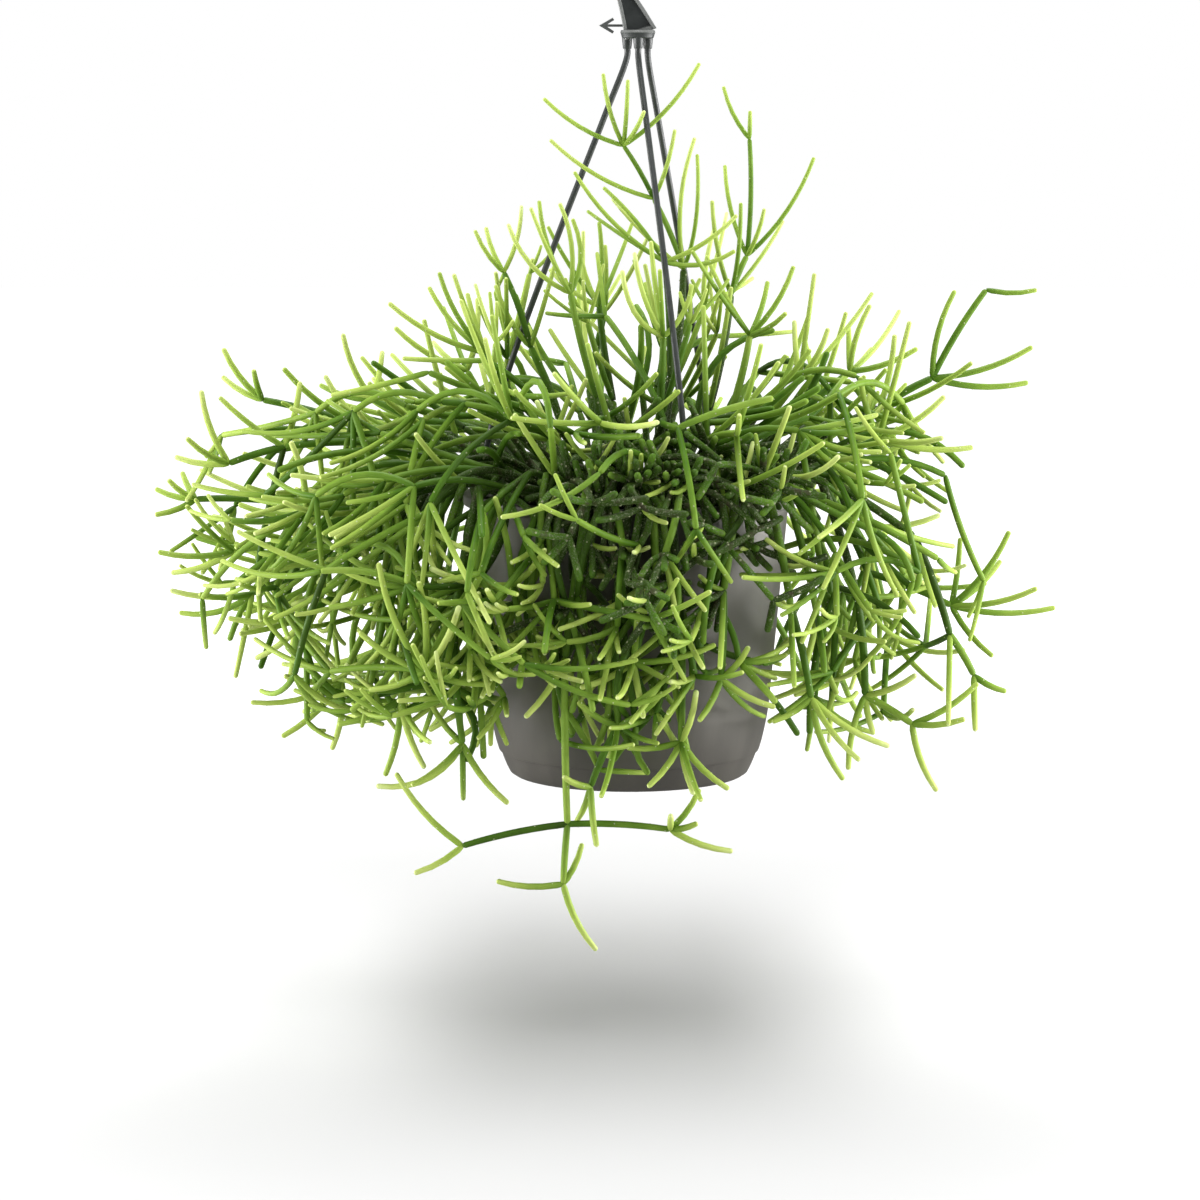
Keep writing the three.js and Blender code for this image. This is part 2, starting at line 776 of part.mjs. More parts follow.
function occupy(owner, points, radius) {
  for (let i = 1; i < points.length; i++) {
    stretches.push({ owner, a: points[i - 1], b: points[i], radius });
  }
}

const clamp01 = (value) => Math.min(1, Math.max(0, value));

// Least distance between two straight stretches, a-b and c-d.
function apart(a, b, c, d) {
  const u = vec().subVectors(b, a);
  const v = vec().subVectors(d, c);
  const w = vec().subVectors(a, c);
  const uu = u.dot(u);
  const vv = v.dot(v);
  const uv = u.dot(v);
  const uw = u.dot(w);
  const vw = v.dot(w);
  const square = uu * vv - uv * uv;
  let s = square > 1e-9 ? clamp01((uv * vw - vv * uw) / square) : 0;
  const t = clamp01((uv * s + vw) / vv);
  s = clamp01((uv * t - uw) / uu);
  const p = vec().copy(a).addScaledVector(u, s);
  const q = vec().copy(c).addScaledVector(v, t);
  return p.distanceTo(q);
}

function clearOfPot(point, radius) {
  const out = Math.hypot(point.x, point.y);
  const air = radius + CLEARANCE;
  if (point.z > POT_HEIGHT + air || point.z < -air || out > LIP_RADIUS + air) return true;
  return out < WALL_TOP_RADIUS - POT_WALL - air && point.z > soilTop(out) + radius + 0.5;
}

// True where a stem along the points clears the pot, the soil and every other spray. A shoot's
// last stretch, which is well away from its joint, minds its own spray too.
function isClear(owner, points, radius, mindsOwn) {
  for (let i = 1; i < points.length; i++) {
    const [a, b] = [points[i - 1], points[i]];
    for (let step = 0; step <= 8; step++) {
      const at = vec().lerpVectors(a, b, step / 8);
      if (at.z > PLANT_TOP || !clearOfPot(at, radius)) return false;
    }
    const last = mindsOwn && i === points.length - 1;
    for (const other of stretches) {
      if (other.owner === owner && !last) continue;
      if (apart(a, b, other.a, other.b) < radius + other.radius + CLEARANCE) return false;
    }
  }
  return true;
}

function bend(from, control, to, chords) {
  return new THREE.QuadraticBezierCurve3(from, control, to).getPoints(chords);
}

// The direction square to a stretch that points most nearly up, or outwards where the stretch
// is upright, and the one square to both.
function liftAndSide(along, at) {
  const steep = Math.abs(along.z) > 0.95;
  const aim = steep ? vec(at.x, at.y, 0).normalize() : UP;
  const lift = vec().copy(aim).addScaledVector(along, -along.dot(aim)).normalize();
  return [lift, vec().crossVectors(along, lift)];
}

// A stretch bowed by shares of its length, upwards and sideways.
function bowed(from, to, up, across, chords) {
  const length = from.distanceTo(to);
  const [lift, side] = liftAndSide(vec().subVectors(to, from).divideScalar(length), to);
  const control = vec().lerpVectors(from, to, 0.5);
  control.addScaledVector(lift, up * length).addScaledVector(side, across * length);
  return bend(from, control, to, chords);
}

// Bows to try for a length of main stem, upwards and sideways
const BOWS = [
  [0.05, 0], [0.05, 0.1], [0.05, -0.1], [0.2, 0], [0, 0.15], [0, -0.15], [0.25, 0.2],
  [0.25, -0.2], [-0.12, 0], [0.4, 0], [-0.1, 0.25], [-0.1, -0.25], [0.1, 0.4], [0.1, -0.4],
  [0.5, 0.3], [0.5, -0.3],
];
// Sags to try for a placed shoot, whose tip turns up, and how far its tip may move in depth
const SAGS = [-0.13, -0.22, -0.05, 0.08, -0.32];
const DEPTHS = [0, -6, 6, -12, 12, -18, 18, -26, 26];

const leadOf = (points) => vec().subVectors(points[1], points[0]).normalize();

class Spray {
  constructor(spec, index) {
    this.name = spec.name;
    this.roll = dice(1000 + 77 * index);
    this.tubes = [];
    this.limbs = [];
    const [x, y] = spec.root;
    const ground = soilTop(Math.hypot(x, y));
    const foot = [vec(x, y, ground - ROOT_DEPTH + FIT), vec(x, y, ground + 3.5)];
    this.growLimb(spec, foot);
    for (const branch of spec.branches ?? []) {
      this.growLimb(branch, [this.limbs[0].joints[branch.joint - 1].at]);
    }
  }

  // A limb is a main stem that runs on through its joints as one bent tube.
  growLimb(spec, start) {
    const rooted = start.length > 1;
    const radii = start.map(() => (rooted ? STEM_ROOT_RADIUS : STEM_END_RADIUS));
    const tube = { points: [...start], radii, sides: STEM_SIDES };
    const limb = { tube, joints: [], shoots: spec.shoots, tips: spec.tips };
    spec.stem.forEach((place, index) => {
      const from = tube.points[tube.points.length - 1];
      const to = vec(...place);
      const grown = this.growLength(from, to, index === 0 && rooted);
      tube.points.push(...grown.slice(1));
      const along = vec().subVectors(to, grown[grown.length - 2]).normalize();
      limb.joints.push({ at: to, along, leads: [] });
    });
    const rows = tube.points.length - start.length;
    for (let i = 1; i <= rows; i++) {
      const end = rooted ? STEM_END_RADIUS : SHOOT_RADIUS;
      radii.push(radii[0] + ((end - radii[0]) * i) / rows);
    }
    occupy(this.name, tube.points, radii[0]);
    this.tubes.push(tube);
    this.limbs.push(limb);
  }

  growLength(from, to, first) {
    const lines = BOWS.map(([up, across]) => bowed(from, to, up, across, first ? 3 : 2));
    return lines.find((points) => isClear(this.name, points, STEM_ROOT_RADIUS, false)) ?? lines[0];
  }

  // The first shoot of a limb's last joint carries the limb's tube on to its tip. Any other is a
  // tube of its own, rooted in the middle of the stem.
  addShoot(limb, joint, points) {
    joint.leads.push(leadOf(points));
    const radii = [1, SHOOT_TIP].map((share) => share * SHOOT_RADIUS);
    if (joint === limb.joints[limb.joints.length - 1] && !limb.ended) {
      limb.ended = true;
      limb.tube.points.push(...points.slice(1));
      limb.tube.radii.push(...radii);
    } else {
      radii.unshift(SHOOT_NECK * SHOOT_RADIUS);
      this.tubes.push({ points, radii, sides: SHOOT_SIDES });
    }
    occupy(this.name, points, SHOOT_RADIUS);
  }

  fits(joint, points) {
    const lead = leadOf(points);
    const fork = Math.cos(radians(LEAST_FORK));
    if (joint.leads.some((other) => other.dot(lead) > fork)) return false;
    return isClear(this.name, points, SHOOT_RADIUS, true);
  }

  growPlacedShoots() {
    for (const limb of this.limbs) {
      for (const [number, ...tip] of limb.tips) {
        this.growPlacedShoot(limb, limb.joints[number - 1], tip);
      }
    }
  }

  growPlacedShoot(limb, joint, [x, y, z]) {
    for (const depth of DEPTHS) {
      for (const sag of SAGS) {
        const points = bowed(joint.at, vec(x, y + depth, z), sag, 0, 2);
        if (this.fits(joint, points)) {
          this.addShoot(limb, joint, points);
          return;
        }
      }
    }
  }

  // One more shoot on each joint that still has a place for it, thrown at random round the stem.
  growRound(round) {
    for (const limb of this.limbs) {
      limb.joints.forEach((joint, index) => {
        if (limb.shoots[index] > round) this.growFreeShoot(limb, joint);
      });
    }
  }

  growFreeShoot(limb, joint) {
    const [lift, side] = liftAndSide(joint.along, joint.at);
    for (let i = 0; i < TRIES; i++) {
      const lean = radians(this.roll(SPREAD));
      const turn = radians(this.roll([0, 360]));
      const half = this.roll(SHOOT_LENGTH) / 2;
      const rise = this.roll(SHOOT_RISE);
      const out = vec().addScaledVector(joint.along, Math.cos(lean));
      out.addScaledVector(lift, Math.sin(lean) * Math.cos(turn));
      out.addScaledVector(side, Math.sin(lean) * Math.sin(turn));
      const control = vec().copy(joint.at).addScaledVector(out, half);
      out.addScaledVector(UP, rise).normalize();
      const tip = vec().copy(control).addScaledVector(out, half);
      const points = bend(joint.at, control, tip, 2);
      if (withinReach(tip) && this.fits(joint, points)) {
        this.addShoot(limb, joint, points);
        return;
      }
    }
  }

  solid() {
    return joined(this.tubes.map(tubeSolid));
  }
}

const withinReach = (point) =>
  ["x", "y", "z"].every((axis) => point[axis] > REACH[axis][0] && point[axis] < REACH[axis][1]);

// A closed tube along points with a radius at each: a capped cylinder whose rows are carried to
// the points, square to the tube there and without twist. Its end is a low dome.
function tubeSolid({ points, radii, sides }) {
  const rows = points.length - 1;
  const geometry = new THREE.CylinderGeometry(1, 1, 1, sides, rows);
  const frames = [];
  let across = null;
  for (let i = 0; i <= rows; i++) {
    const before = points[Math.max(0, i - 1)];
    const after = points[Math.min(rows, i + 1)];
    const along = vec().subVectors(after, before).normalize();
    across ??= Math.abs(along.z) > 0.9 ? vec(1, 0, 0) : vec(0, 0, 1);
    across = vec().copy(across).addScaledVector(along, -across.dot(along)).normalize();
    frames.push([across, vec().crossVectors(along, across), along]);
  }
  const position = geometry.getAttribute("position");
  for (let i = 0; i < position.count; i++) {
    const [x, y, z] = [position.getX(i), position.getY(i), position.getZ(i)];
    const row = Math.round((y + 0.5) * rows);
    const [first, second, along] = frames[row];
    const at = vec().copy(points[row]);
    at.addScaledVector(first, x * radii[row]).addScaledVector(second, -z * radii[row]);
    const capMiddle = Math.hypot(x, z) < 1e-6;
    if (capMiddle && row === rows) at.addScaledVector(along, radii[row] * 0.6);
    position.setXYZ(i, at.x, at.y, at.z);
  }
  return solid(geometry);
}

// Puts the hanger and the lugs in the stems' way.
function occupyHanger() {
  for (const [side, turn] of Object.entries(ARM_TURNS)) {
    const [cos, sin] = [Math.cos(radians(turn)), Math.sin(radians(turn))];
    const lugHeight = LUG_TOP - LUG_THICK / 2;
    const ring = (radius, height) => vec(radius * cos, radius * sin, height);
    occupy("hanger", armLine(side).getPoints(ARM_STEPS), ARM_RADIUS);
    occupy("hanger", [ring(LUG_RING, LUG_TOP), ring(LUG_RING, LUG_TOP - 11)], BARB_RADIUS);
    occupy("hanger", [ring(LUG_RING - 2, lugHeight), ring(LUG_RING + 3, lugHeight)], 6);
  }
  occupy("hanger", [vec(HEAD_X, 0, HEAD_BOTTOM + 5), vec(HEAD_X, 0, HEAD_BOTTOM - 9)], 9);
}

function growPlant() {
  occupyHanger();
  const sprays = SPRAYS.map((spec, index) => new Spray(spec, index));
  for (const spray of sprays) spray.growPlacedShoots();
  for (let round = 0; round < ROUNDS; round++) {
    for (const spray of sprays) spray.growRound(round);
  }
  return sprays;
}

const green = new THREE.MeshStandardMaterial({ color: 0x6f9a38, roughness: 0.5, metalness: 0 });

const pottedPlant = new THREE.Group();
pottedPlant.position.set(-HOOK_CENTRE[0], 0, -HOOK_CENTRE[1] - HOOK_INNER_RADIUS);
pottedPlant.add(makePot(), makeSoil(SPRAYS.map((spec) => spec.root)), makeHook());
for (const side of Object.keys(ARM_TURNS)) pottedPlant.add(makeArm(side));
for (const spray of growPlant()) pottedPlant.add(meshOf(spray.name, spray.solid(), green));

const assembly = new THREE.Group();
assembly.add(pottedPlant);
export default assembly;
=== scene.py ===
# A potted Rhipsalis heteroclada, a leafless cactus of jointed stems, in a hanging plastic pot.
# The stems grow in millimetres from the pot's bottom centre, by the rules that shaped the frame's
# plain sprays, and go on from there to the density of the real plant. Every mesh is then put in
# the frame: metres, with the origin at the hook's inner apex.
import math
from collections import namedtuple
from functools import partial

import bmesh
import bpy
import numpy as np
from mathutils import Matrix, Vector


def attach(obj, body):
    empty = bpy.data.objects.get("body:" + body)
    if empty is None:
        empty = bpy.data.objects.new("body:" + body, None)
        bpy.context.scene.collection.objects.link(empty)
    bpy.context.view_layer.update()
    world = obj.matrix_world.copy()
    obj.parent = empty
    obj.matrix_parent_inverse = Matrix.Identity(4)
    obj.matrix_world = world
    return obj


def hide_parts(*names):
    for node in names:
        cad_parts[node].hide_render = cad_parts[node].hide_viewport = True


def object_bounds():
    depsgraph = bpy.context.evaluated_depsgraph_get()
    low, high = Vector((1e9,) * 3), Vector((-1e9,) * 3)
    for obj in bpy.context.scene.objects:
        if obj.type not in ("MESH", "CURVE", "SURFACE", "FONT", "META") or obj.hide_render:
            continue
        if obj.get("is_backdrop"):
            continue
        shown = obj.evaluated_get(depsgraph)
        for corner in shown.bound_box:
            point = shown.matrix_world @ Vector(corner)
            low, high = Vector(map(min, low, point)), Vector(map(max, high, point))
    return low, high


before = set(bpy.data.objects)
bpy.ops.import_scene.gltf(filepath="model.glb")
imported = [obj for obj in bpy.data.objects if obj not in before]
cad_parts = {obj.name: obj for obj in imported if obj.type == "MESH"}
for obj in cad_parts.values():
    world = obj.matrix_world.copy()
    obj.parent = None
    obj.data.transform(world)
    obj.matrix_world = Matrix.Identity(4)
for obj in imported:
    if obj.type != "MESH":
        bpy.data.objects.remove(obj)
CAD_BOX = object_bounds()
BODY = "root"
MM = 0.001

# Camera, in the frame, millimetres
VIEW_TARGET = (-18.5, 0, -348.5)
VIEW_DISTANCE = 1800
VIEW_PITCH = 7.85  # degrees downwards
VIEW_WIDTH = 600  # of the picture, at the target
SENSOR = 36

# Pot
POT_HEIGHT = 141
POT_WALL = 1.8
POT_SIDES = 160
FOOT_RADIUS = 60
FOOT_TOP = 35
FOOT_TOP_RADIUS = 70.2
WALL_TOP_RADIUS = 79.2
LIP_RADIUS = 82.5
LIP_DEPTH = 6.5
BASE_RISE = 1.8
FOOT_STEP = 0.9  # by which the foot's band stands in from the wall
FOOT_BAND = 12
DRAIN_COUNT = 6
DRAIN_RADIUS = 4
DRAIN_RING = 38
LUG_RING = 73.2
LUG_WIDTH = 11
LUG_THICK = 3
LUG_TOP = POT_HEIGHT - 2.5
LUG_BORE = 2.1
NOTCH_COUNT = 7  # moulded marks round the foot
NOTCH_CENTRE = (66.4, 0, 7.15)
NOTCH_SIZE = (2.6, 1.1, 7.5)

# Soil
SOIL_EDGE = 124.5
SOIL_DOME = 2.5
ROOT_DEPTH = 12
FIT = 0.3
CLOD_COUNT = 260
CLOD_SIZE = (0.7, 2.6)

# Hanger
HEAD_X = 4
HEAD_BOTTOM = 366
HOOK_CENTRE = (4, 421)
HOOK_INNER_RADIUS = 14
STRAP_HALF = 4.2
STRAP_DEPTH = 8
STRAP_STEPS = 110
WEB_DEPTH = 2.4
RIB = 1.8
HUB_RADIUS = 8.6
HUB_DEPTH = 4
SOCKET_RING = 5.2
SOCKET_RADIUS = 2.6
SOCKET_LENGTH = 7
ARM_RADIUS = 1.5
# Degrees from +X: of the lugs round the pot, and of the sockets round the hub
ARM_TURNS = {"left": 175, "front": -68, "back": 55}
SOCKET_TURNS = {"left": 175, "front": -88, "back": 20}
BARB_RADIUS = 3.2
BARB_LENGTH = 8
BARB_TOP = LUG_TOP - LUG_THICK - FIT
# An arm's sweep from its socket to its lug: height, and share of the way outwards
ARM_SWEEP = [
    (360, 0), (355.5, 0), (327, 0.15), (267, 0.48), (203, 0.81), (162, 0.975), (146, 1),
]
ORIGIN = np.array([HOOK_CENTRE[0], 0, HOOK_CENTRE[1] + HOOK_INNER_RADIUS])

# Stems
STEM_ROOT_RADIUS = 2.6
STEM_END_RADIUS = 1.9
BEND_HEIGHT = 3.5  # above the soil, up to which a root stands upright
LEAST_FORK = 26  # degrees between shoots of one joint
CLEARANCE = 1.2  # least air between stems of different sprays
TRIES = 40
ROUNDS = 3
PLANT_TOP = 353
REACH = ((-222, 192), (-150, 150), (-5, 290))

# Stems that only this model has
DENSE_CLEARANCE = -0.8  # of the frame's stems, which are stouter than this model's
CROWDED_CLEARANCE = -2.0  # where they crowd together over the front rim
CROWDED = ("front", "curtain")
DENSE_FORK = 19
DENSE_TRIES = 16
FILL_RADII = (2.1, 1.8)
FILL_BOWS = 10
RIM_AIR = 0.3  # between a stem that leans over the rim and the pot or the hanger
RIM_CHORDS = 16
RIM_SHIFTS = (0, -4, 4, -8, 8, -12, 12)  # sideways, tried for such a stem's middle
RIM_LIFTS = [0.8 * i for i in range(16)]  # and upwards
STEM_SIDES = 8

# How a stem leaves its joint: by how many degrees, how long it is and how much it turns up, its
# radius, its age at its foot and at its tip, from 1 for old bark to 0 for a new tip, and its kind
Habit = namedtuple("Habit", "spread length rise radius ages kind")
PLAIN_SHOOT = Habit((24, 62), (38, 66), (0.1, 0.7), 1.75, (0.42, 0), "free")
PLACED_SHOOT = PLAIN_SHOOT._replace(kind="placed")
SHOOT = Habit((16, 54), (34, 68), (0.05, 0.65), 1.7, (0.6, 0.06), "free")
FRONT_SHOOT = Habit((24, 80), (22, 46), (-0.1, 0.6), 1.7, (0.6, 0.06), "free")
BRANCH = Habit((15, 78), (42, 86), (-1.4, 0.25), 1.8, (0.72, 0.5), "branch")
FRONT_BRANCH = Habit((20, 80), (24, 52), (-1.2, 0.3), 1.8, (0.72, 0.5), "branch")
OLD_BRANCH = Habit((20, 105), (20, 44), (-1.8, 0.1), 1.8, (0.95, 0.8), "branch")
TWIG = Habit((16, 52), (15, 36), (0.2, 0.9), 1.5, (0.3, 0), "twig")
STUB = Habit((30, 95), (11, 28), (0, 0.5), 1.75, (0.95, 0.72), "stub")
SPROUT = Habit((30, 95), (11, 27), (0.3, 1), 1.6, (0.25, 0), "twig")
TWIG_BEARER_AGES = (0.62, 0.34)
# How many stems a joint gets of each kind, rounded. The shoots that it has are among its whorl.
SIDE_WHORL = (0, 1.7)
END_WHORL = (1.6, 3.9)
FRONT_WHORL = (3.4, 6)
BRANCH_WHORL = (2.4, 4.4)
BRANCHES = (1, 2.4)
OLD_BRANCHES = (1, 3.4)
OLD_STUBS = (0.6, 3.4)
OLD_SPROUTS = (0, 1.3)
CANE_STUBS = (3, 5)
CANE_SPROUTS = (0, 1.4)
TWIGS = (2, 4)
TWIG_SHARE = 0.15  # of the shoots that carry twigs

# A spray has a root on the soil [x, y]. Then come, for its main stem and for each of its branches,
# how many shoots each joint carries beside the placed ones, the joints [x, y, z], and the tips of
# the placed shoots [joint, x, y, z], with joints counted from 1. A branch leaves a joint of the
# main stem.
Plan = namedtuple("Plan", "name root shoots stem tips branches", defaults=[()])
Branch = namedtuple("Branch", "joint shoots stem tips")
SPRAYS = [
    Plan("spray_top_01", [10, 5], [1, 1, 0, 0],
         [[20, 8, 190], [27, 10, 251], [12, 2, 286], [-3, -8, 312]],
         [[4, -13, -18, 347], [4, -1, -22, 344], [4, -42, -20, 335], [4, 34, -16, 352],
          [4, 7, -24, 329], [3, -39, -14, 315], [3, 22, -18, 320], [2, 32, -6, 316],
          [2, 33, 2, 308]]),
    Plan("spray_top_02", [5, -12], [1, 1],
         [[20, -20, 200], [17, -24, 256]],
         [[2, -27, -38, 300], [2, -13, -30, 292], [2, 52, -30, 279], [2, 51, -36, 262]]),
    Plan("spray_top_03", [22, 12], [1, 1, 0, 0],
         [[40, 18, 180], [51, 22, 238], [59, 24, 257], [60, 26, 315]],
         [[4, 47, 30, 341], [4, 60, 20, 329], [3, 92, 20, 306], [3, 67, 10, 281], [3, 48, 32, 302],
          [2, 41, 10, 285], [2, 55, 4, 284]]),
    Plan("spray_top_04", [24, -6], [1, 2],
         [[48, -14, 176], [59, -18, 220]],
         [[2, 80, -22, 254], [2, 76, -34, 232], [2, 68, -8, 246], [1, 88, -30, 214]]),
    Plan("spray_top_05", [-17, 3], [1, 1, 0],
         [[-34, 2, 175], [-49, 0, 213], [-62, -2, 250]],
         [[3, -76, -8, 271], [3, -71, 6, 272], [3, -53, -8, 283], [2, -66, 14, 244]]),
    Plan("spray_top_06", [-8, -14], [1, 1],
         [[-16, -22, 190], [-29, -28, 241]],
         [[2, -44, -30, 286], [2, -34, -40, 285], [2, -28, -22, 277], [2, -59, -36, 275]]),
    Plan("spray_top_07", [-3, 12], [1, 1],
         [[-8, 18, 185], [-15, 22, 232]],
         [[2, -15, 24, 274], [2, -24, 32, 256], [2, -40, 34, 250]]),
    Plan("spray_top_08", [14, -22], [1, 1],
         [[14, -38, 178], [16, -46, 221]],
         [[2, 2, -54, 262], [2, 10, -44, 267], [2, -4, -60, 254], [2, 30, -52, 246]]),
    Plan("spray_top_09", [-12, 20], [1, 2],
         [[-20, 38, 190], [-12, 46, 228]],
         [[2, -12, 40, 262]]),
    Plan("spray_top_10", [12, 24], [1, 2],
         [[26, 42, 188], [38, 52, 232]],
         [[2, 44, 62, 270]]),
    Plan("spray_left_01", [-27, -3], [1, 1],
         [[-52, -8, 176], [-71, -12, 211]],
         [[2, -118, -20, 236], [2, -93, -22, 251], [2, -99, -4, 243], [2, -80, -4, 240]]),
    Plan("spray_left_02", [-34, 8], [1, 1],
         [[-68, 14, 172], [-81, 16, 200]],
         [[2, -117, 14, 222], [2, -99, 30, 214], [2, -76, 26, 236]]),
    Plan("spray_left_03", [-37, 0], [1, 1, 0],
         [[-86, 6, 168], [-129, 8, 171], [-183, 10, 186]],
         [[3, -202, 8, 212], [3, -204, 20, 197], [3, -186, -2, 202], [2, -171, -6, 203],
          [2, -152, 14, 198]]),
    Plan("spray_left_04", [-31, 17], [1, 1, 0],
         [[-64, 36, 166], [-110, 44, 173], [-130, 46, 183]],
         [[3, -145, 44, 217], [3, -126, 62, 207], [3, -158, 56, 190]]),
    Plan("spray_left_05", [-35, -8], [1, 1, 1, 0],
         [[-90, -18, 170], [-130, -24, 168], [-169, -28, 166], [-196, -30, 158]],
         [[4, -209, -30, 194], [4, -215, -44, 172], [4, -223, -26, 161], [3, -162, -14, 197]]),
    Plan("spray_left_06", [-49, 14], [1, 1, 1, 0],
         [[-92, 24, 150], [-135, 28, 138], [-174, 24, 133], [-218, 20, 135]],
         [[4, -231, 12, 146], [4, -226, 30, 148], [4, -239, 24, 140], [4, -238, 12, 128]]),
    Plan("spray_left_07", [-51, -5], [1, 1, 1],
         [[-100, -10, 154], [-150, -14, 118], [-196, -16, 113]],
         [[3, -233, -18, 113], [3, -228, -6, 101], [2, -176, 2, 128]]),
    Plan("spray_left_08", [-41, -30], [1, 1, 1],
         [[-84, -46, 150], [-122, -56, 140], [-156, -60, 136]],
         [[3, -163, -62, 172], [3, -189, -56, 141], [3, -186, -70, 128]]),
    Plan("spray_left_09", [-51, 4], [1, 1, 1],
         [[-104, 6, 152], [-150, 0, 104], [-188, -2, 90]],
         [[3, -229, -4, 92], [3, -213, -18, 92], [3, -226, 8, 79]],
         [Branch(1, [1, 3],
                 [[-118, 24, 104], [-122, 30, 60]],
                 [])]),
    Plan("spray_left_10", [-45, 24], [1, 1, 2],
         [[-92, 44, 152], [-136, 50, 112], [-168, 46, 84]],
         [[3, -203, 44, 76], [3, -198, 34, 66]],
         [Branch(1, [1, 3],
                 [[-98, 62, 100], [-102, 66, 58]],
                 [])]),
    Plan("spray_left_11", [-46, -22], [1, 1, 2],
         [[-98, -34, 152], [-128, -40, 104], [-158, -42, 84]],
         [[3, -196, -46, 84], [3, -184, -34, 62]]),
    Plan("spray_hang_01", [-21, -46], [0, 1, 0],
         [[-60, -86, 152], [-74, -98, 108], [-97, -110, 68]],
         [[3, -128, -106, 86], [3, -118, -114, 120], [3, -99, -122, 112], [3, -80, -124, 101],
          [3, -124, -98, 57], [3, -66, -112, 62]]),
    Plan("spray_hang_02", [-12, -49], [1, 0],
         [[-36, -88, 158], [-56, -98, 107]],
         [[2, -40, -110, 126], [2, -64, -106, 150], [2, -94, -100, 117], [2, -70, -112, 96],
          [2, -34, -98, 82], [2, -86, -92, 86]]),
    Plan("spray_hang_03", [-4, -51], [0, 1, 0],
         [[-18, -92, 160], [-31, -102, 73], [-30, -102, -7]],
         [[2, -50, -112, 46]],
         [Branch(3, [0],
                 [[-80, -100, -18]],
                 [[1, -112, -92, 16], [1, -103, -106, -30]]),
          Branch(3, [0],
                 [[19, -100, -10]],
                 [[1, 33, -96, 9], [1, 19, -108, -1], [1, 32, -104, -6], [1, 49, -98, -21]]),
          Branch(3, [0],
                 [[-32, -102, -36]],
                 [[1, -64, -100, -35], [1, -23, -98, -17], [1, -16, -100, -69]])]),
    Plan("spray_hang_04", [6, -34], [0, 1, 1],
         [[9, -86, 164], [12, -102, 112], [1, -108, 72]],
         [[3, -24, -110, 60], [3, 3, -112, 97], [3, 40, -106, 80], [3, 6, -114, 46]]),
    Plan("spray_hang_05", [4, -51], [0, 1, 1, 0],
         [[0, -94, 152], [-8, -100, 92], [-6, -100, 40], [-19, -102, 11]],
         [[3, -25, -108, 53], [3, 15, -110, 58], [4, -32, -106, 18], [4, -26, -98, -8],
          [4, -16, -106, -16]]),
    Plan("spray_hang_06", [14, -49], [0, 1, 1],
         [[18, -92, 152], [24, -98, 88], [24, -98, 32]],
         [[3, -2, -102, 30], [3, 31, -104, 58], [3, 47, -98, 9], [3, 30, -106, 8],
          [3, 8, -108, 12]]),
    Plan("spray_hang_07", [26, -44], [1, 1, 1],
         [[50, -84, 152], [44, -94, 104], [43, -96, 62]],
         [[3, 69, -94, 48], [3, 32, -104, 44], [3, 56, -98, 78]]),
    Plan("spray_hang_08", [39, -33], [1, 2],
         [[72, -66, 156], [90, -68, 88]],
         [[2, 100, -70, 50], [2, 82, -78, 58]]),
    Plan("spray_hang_09", [-35, -37], [1, 1, 1],
         [[-80, -66, 152], [-96, -80, 94], [-110, -84, 50]],
         [[3, -140, -84, 38], [3, -118, -80, 12], [3, -98, -92, 18]]),
    Plan("spray_hang_10", [-49, -14], [1, 1, 1],
         [[-96, -22, 152], [-122, -26, 88], [-142, -28, 50]],
         [[3, -172, -28, 22], [3, -170, -36, 54], [3, -148, -20, 14]]),
    Plan("spray_hang_11", [-28, -42], [0, 1, 1],
         [[-72, -82, 152], [-84, -92, 84], [-80, -92, 30]],
         [[3, -122, -90, 8], [3, -104, -98, 12], [3, -58, -98, 2], [3, -96, -86, 50]]),
    Plan("spray_front_01", [-20, -35], [2, 3],
         [[-34, -62, 172], [-56, -84, 184]],
         []),
    Plan("spray_front_02", [-6, -40], [2, 3],
         [[-8, -68, 174], [-14, -100, 184]],
         []),
    Plan("spray_front_03", [24, -35], [2, 3],
         [[37, -58, 172], [50, -86, 178]],
         []),
    Plan("spray_right_01", [36, 9], [1, 1, 0, 0],
         [[84, 10, 160], [125, 10, 182], [151, 8, 197], [177, 6, 241]],
         [[4, 202, 4, 241], [3, 161, 0, 241], [3, 200, 2, 213], [3, 200, 18, 194],
          [2, 133, 20, 218]]),
    Plan("spray_right_02", [50, -8], [1, 1],
         [[90, -20, 152], [122, -26, 170]],
         [[2, 154, -28, 191], [2, 112, -36, 201], [2, 152, -44, 172], [2, 169, -20, 165]]),
    Plan("spray_right_03", [31, 19], [1, 1],
         [[76, 32, 166], [112, 38, 198]],
         [[2, 122, 36, 232], [2, 112, 50, 220], [2, 146, 36, 210]]),
    Plan("spray_right_04", [34, 2], [1, 2],
         [[66, 0, 172], [84, -4, 197]],
         [[2, 98, -8, 223], [2, 82, 6, 226]]),
    Plan("spray_right_05", [48, -17], [1, 1, 1, 1],
         [[90, -36, 154], [138, -48, 124], [156, -48, 76], [168, -48, 56]],
         [[4, 184, -48, 48], [4, 168, -58, 30]]),
    Plan("spray_right_06", [51, 2], [1, 1, 0],
         [[100, 4, 152], [120, 2, 100], [161, -2, 84]],
         [[3, 189, -6, 122], [3, 187, 12, 105], [3, 202, -18, 95], [3, 213, -2, 83],
          [3, 181, -14, 60], [3, 166, 8, 117]],
         [Branch(2, [3],
                 [[114, 14, 54]],
                 [])]),
    Plan("spray_right_07", [45, -25], [0, 1, 0, 0],
         [[92, -54, 152], [110, -60, 94], [114, -60, 48], [137, -60, 34]],
         [[3, 106, -64, 12], [3, 119, -50, 28], [3, 138, -70, 60], [4, 169, -58, 54],
          [4, 162, -68, 38], [4, 150, -56, 0]]),
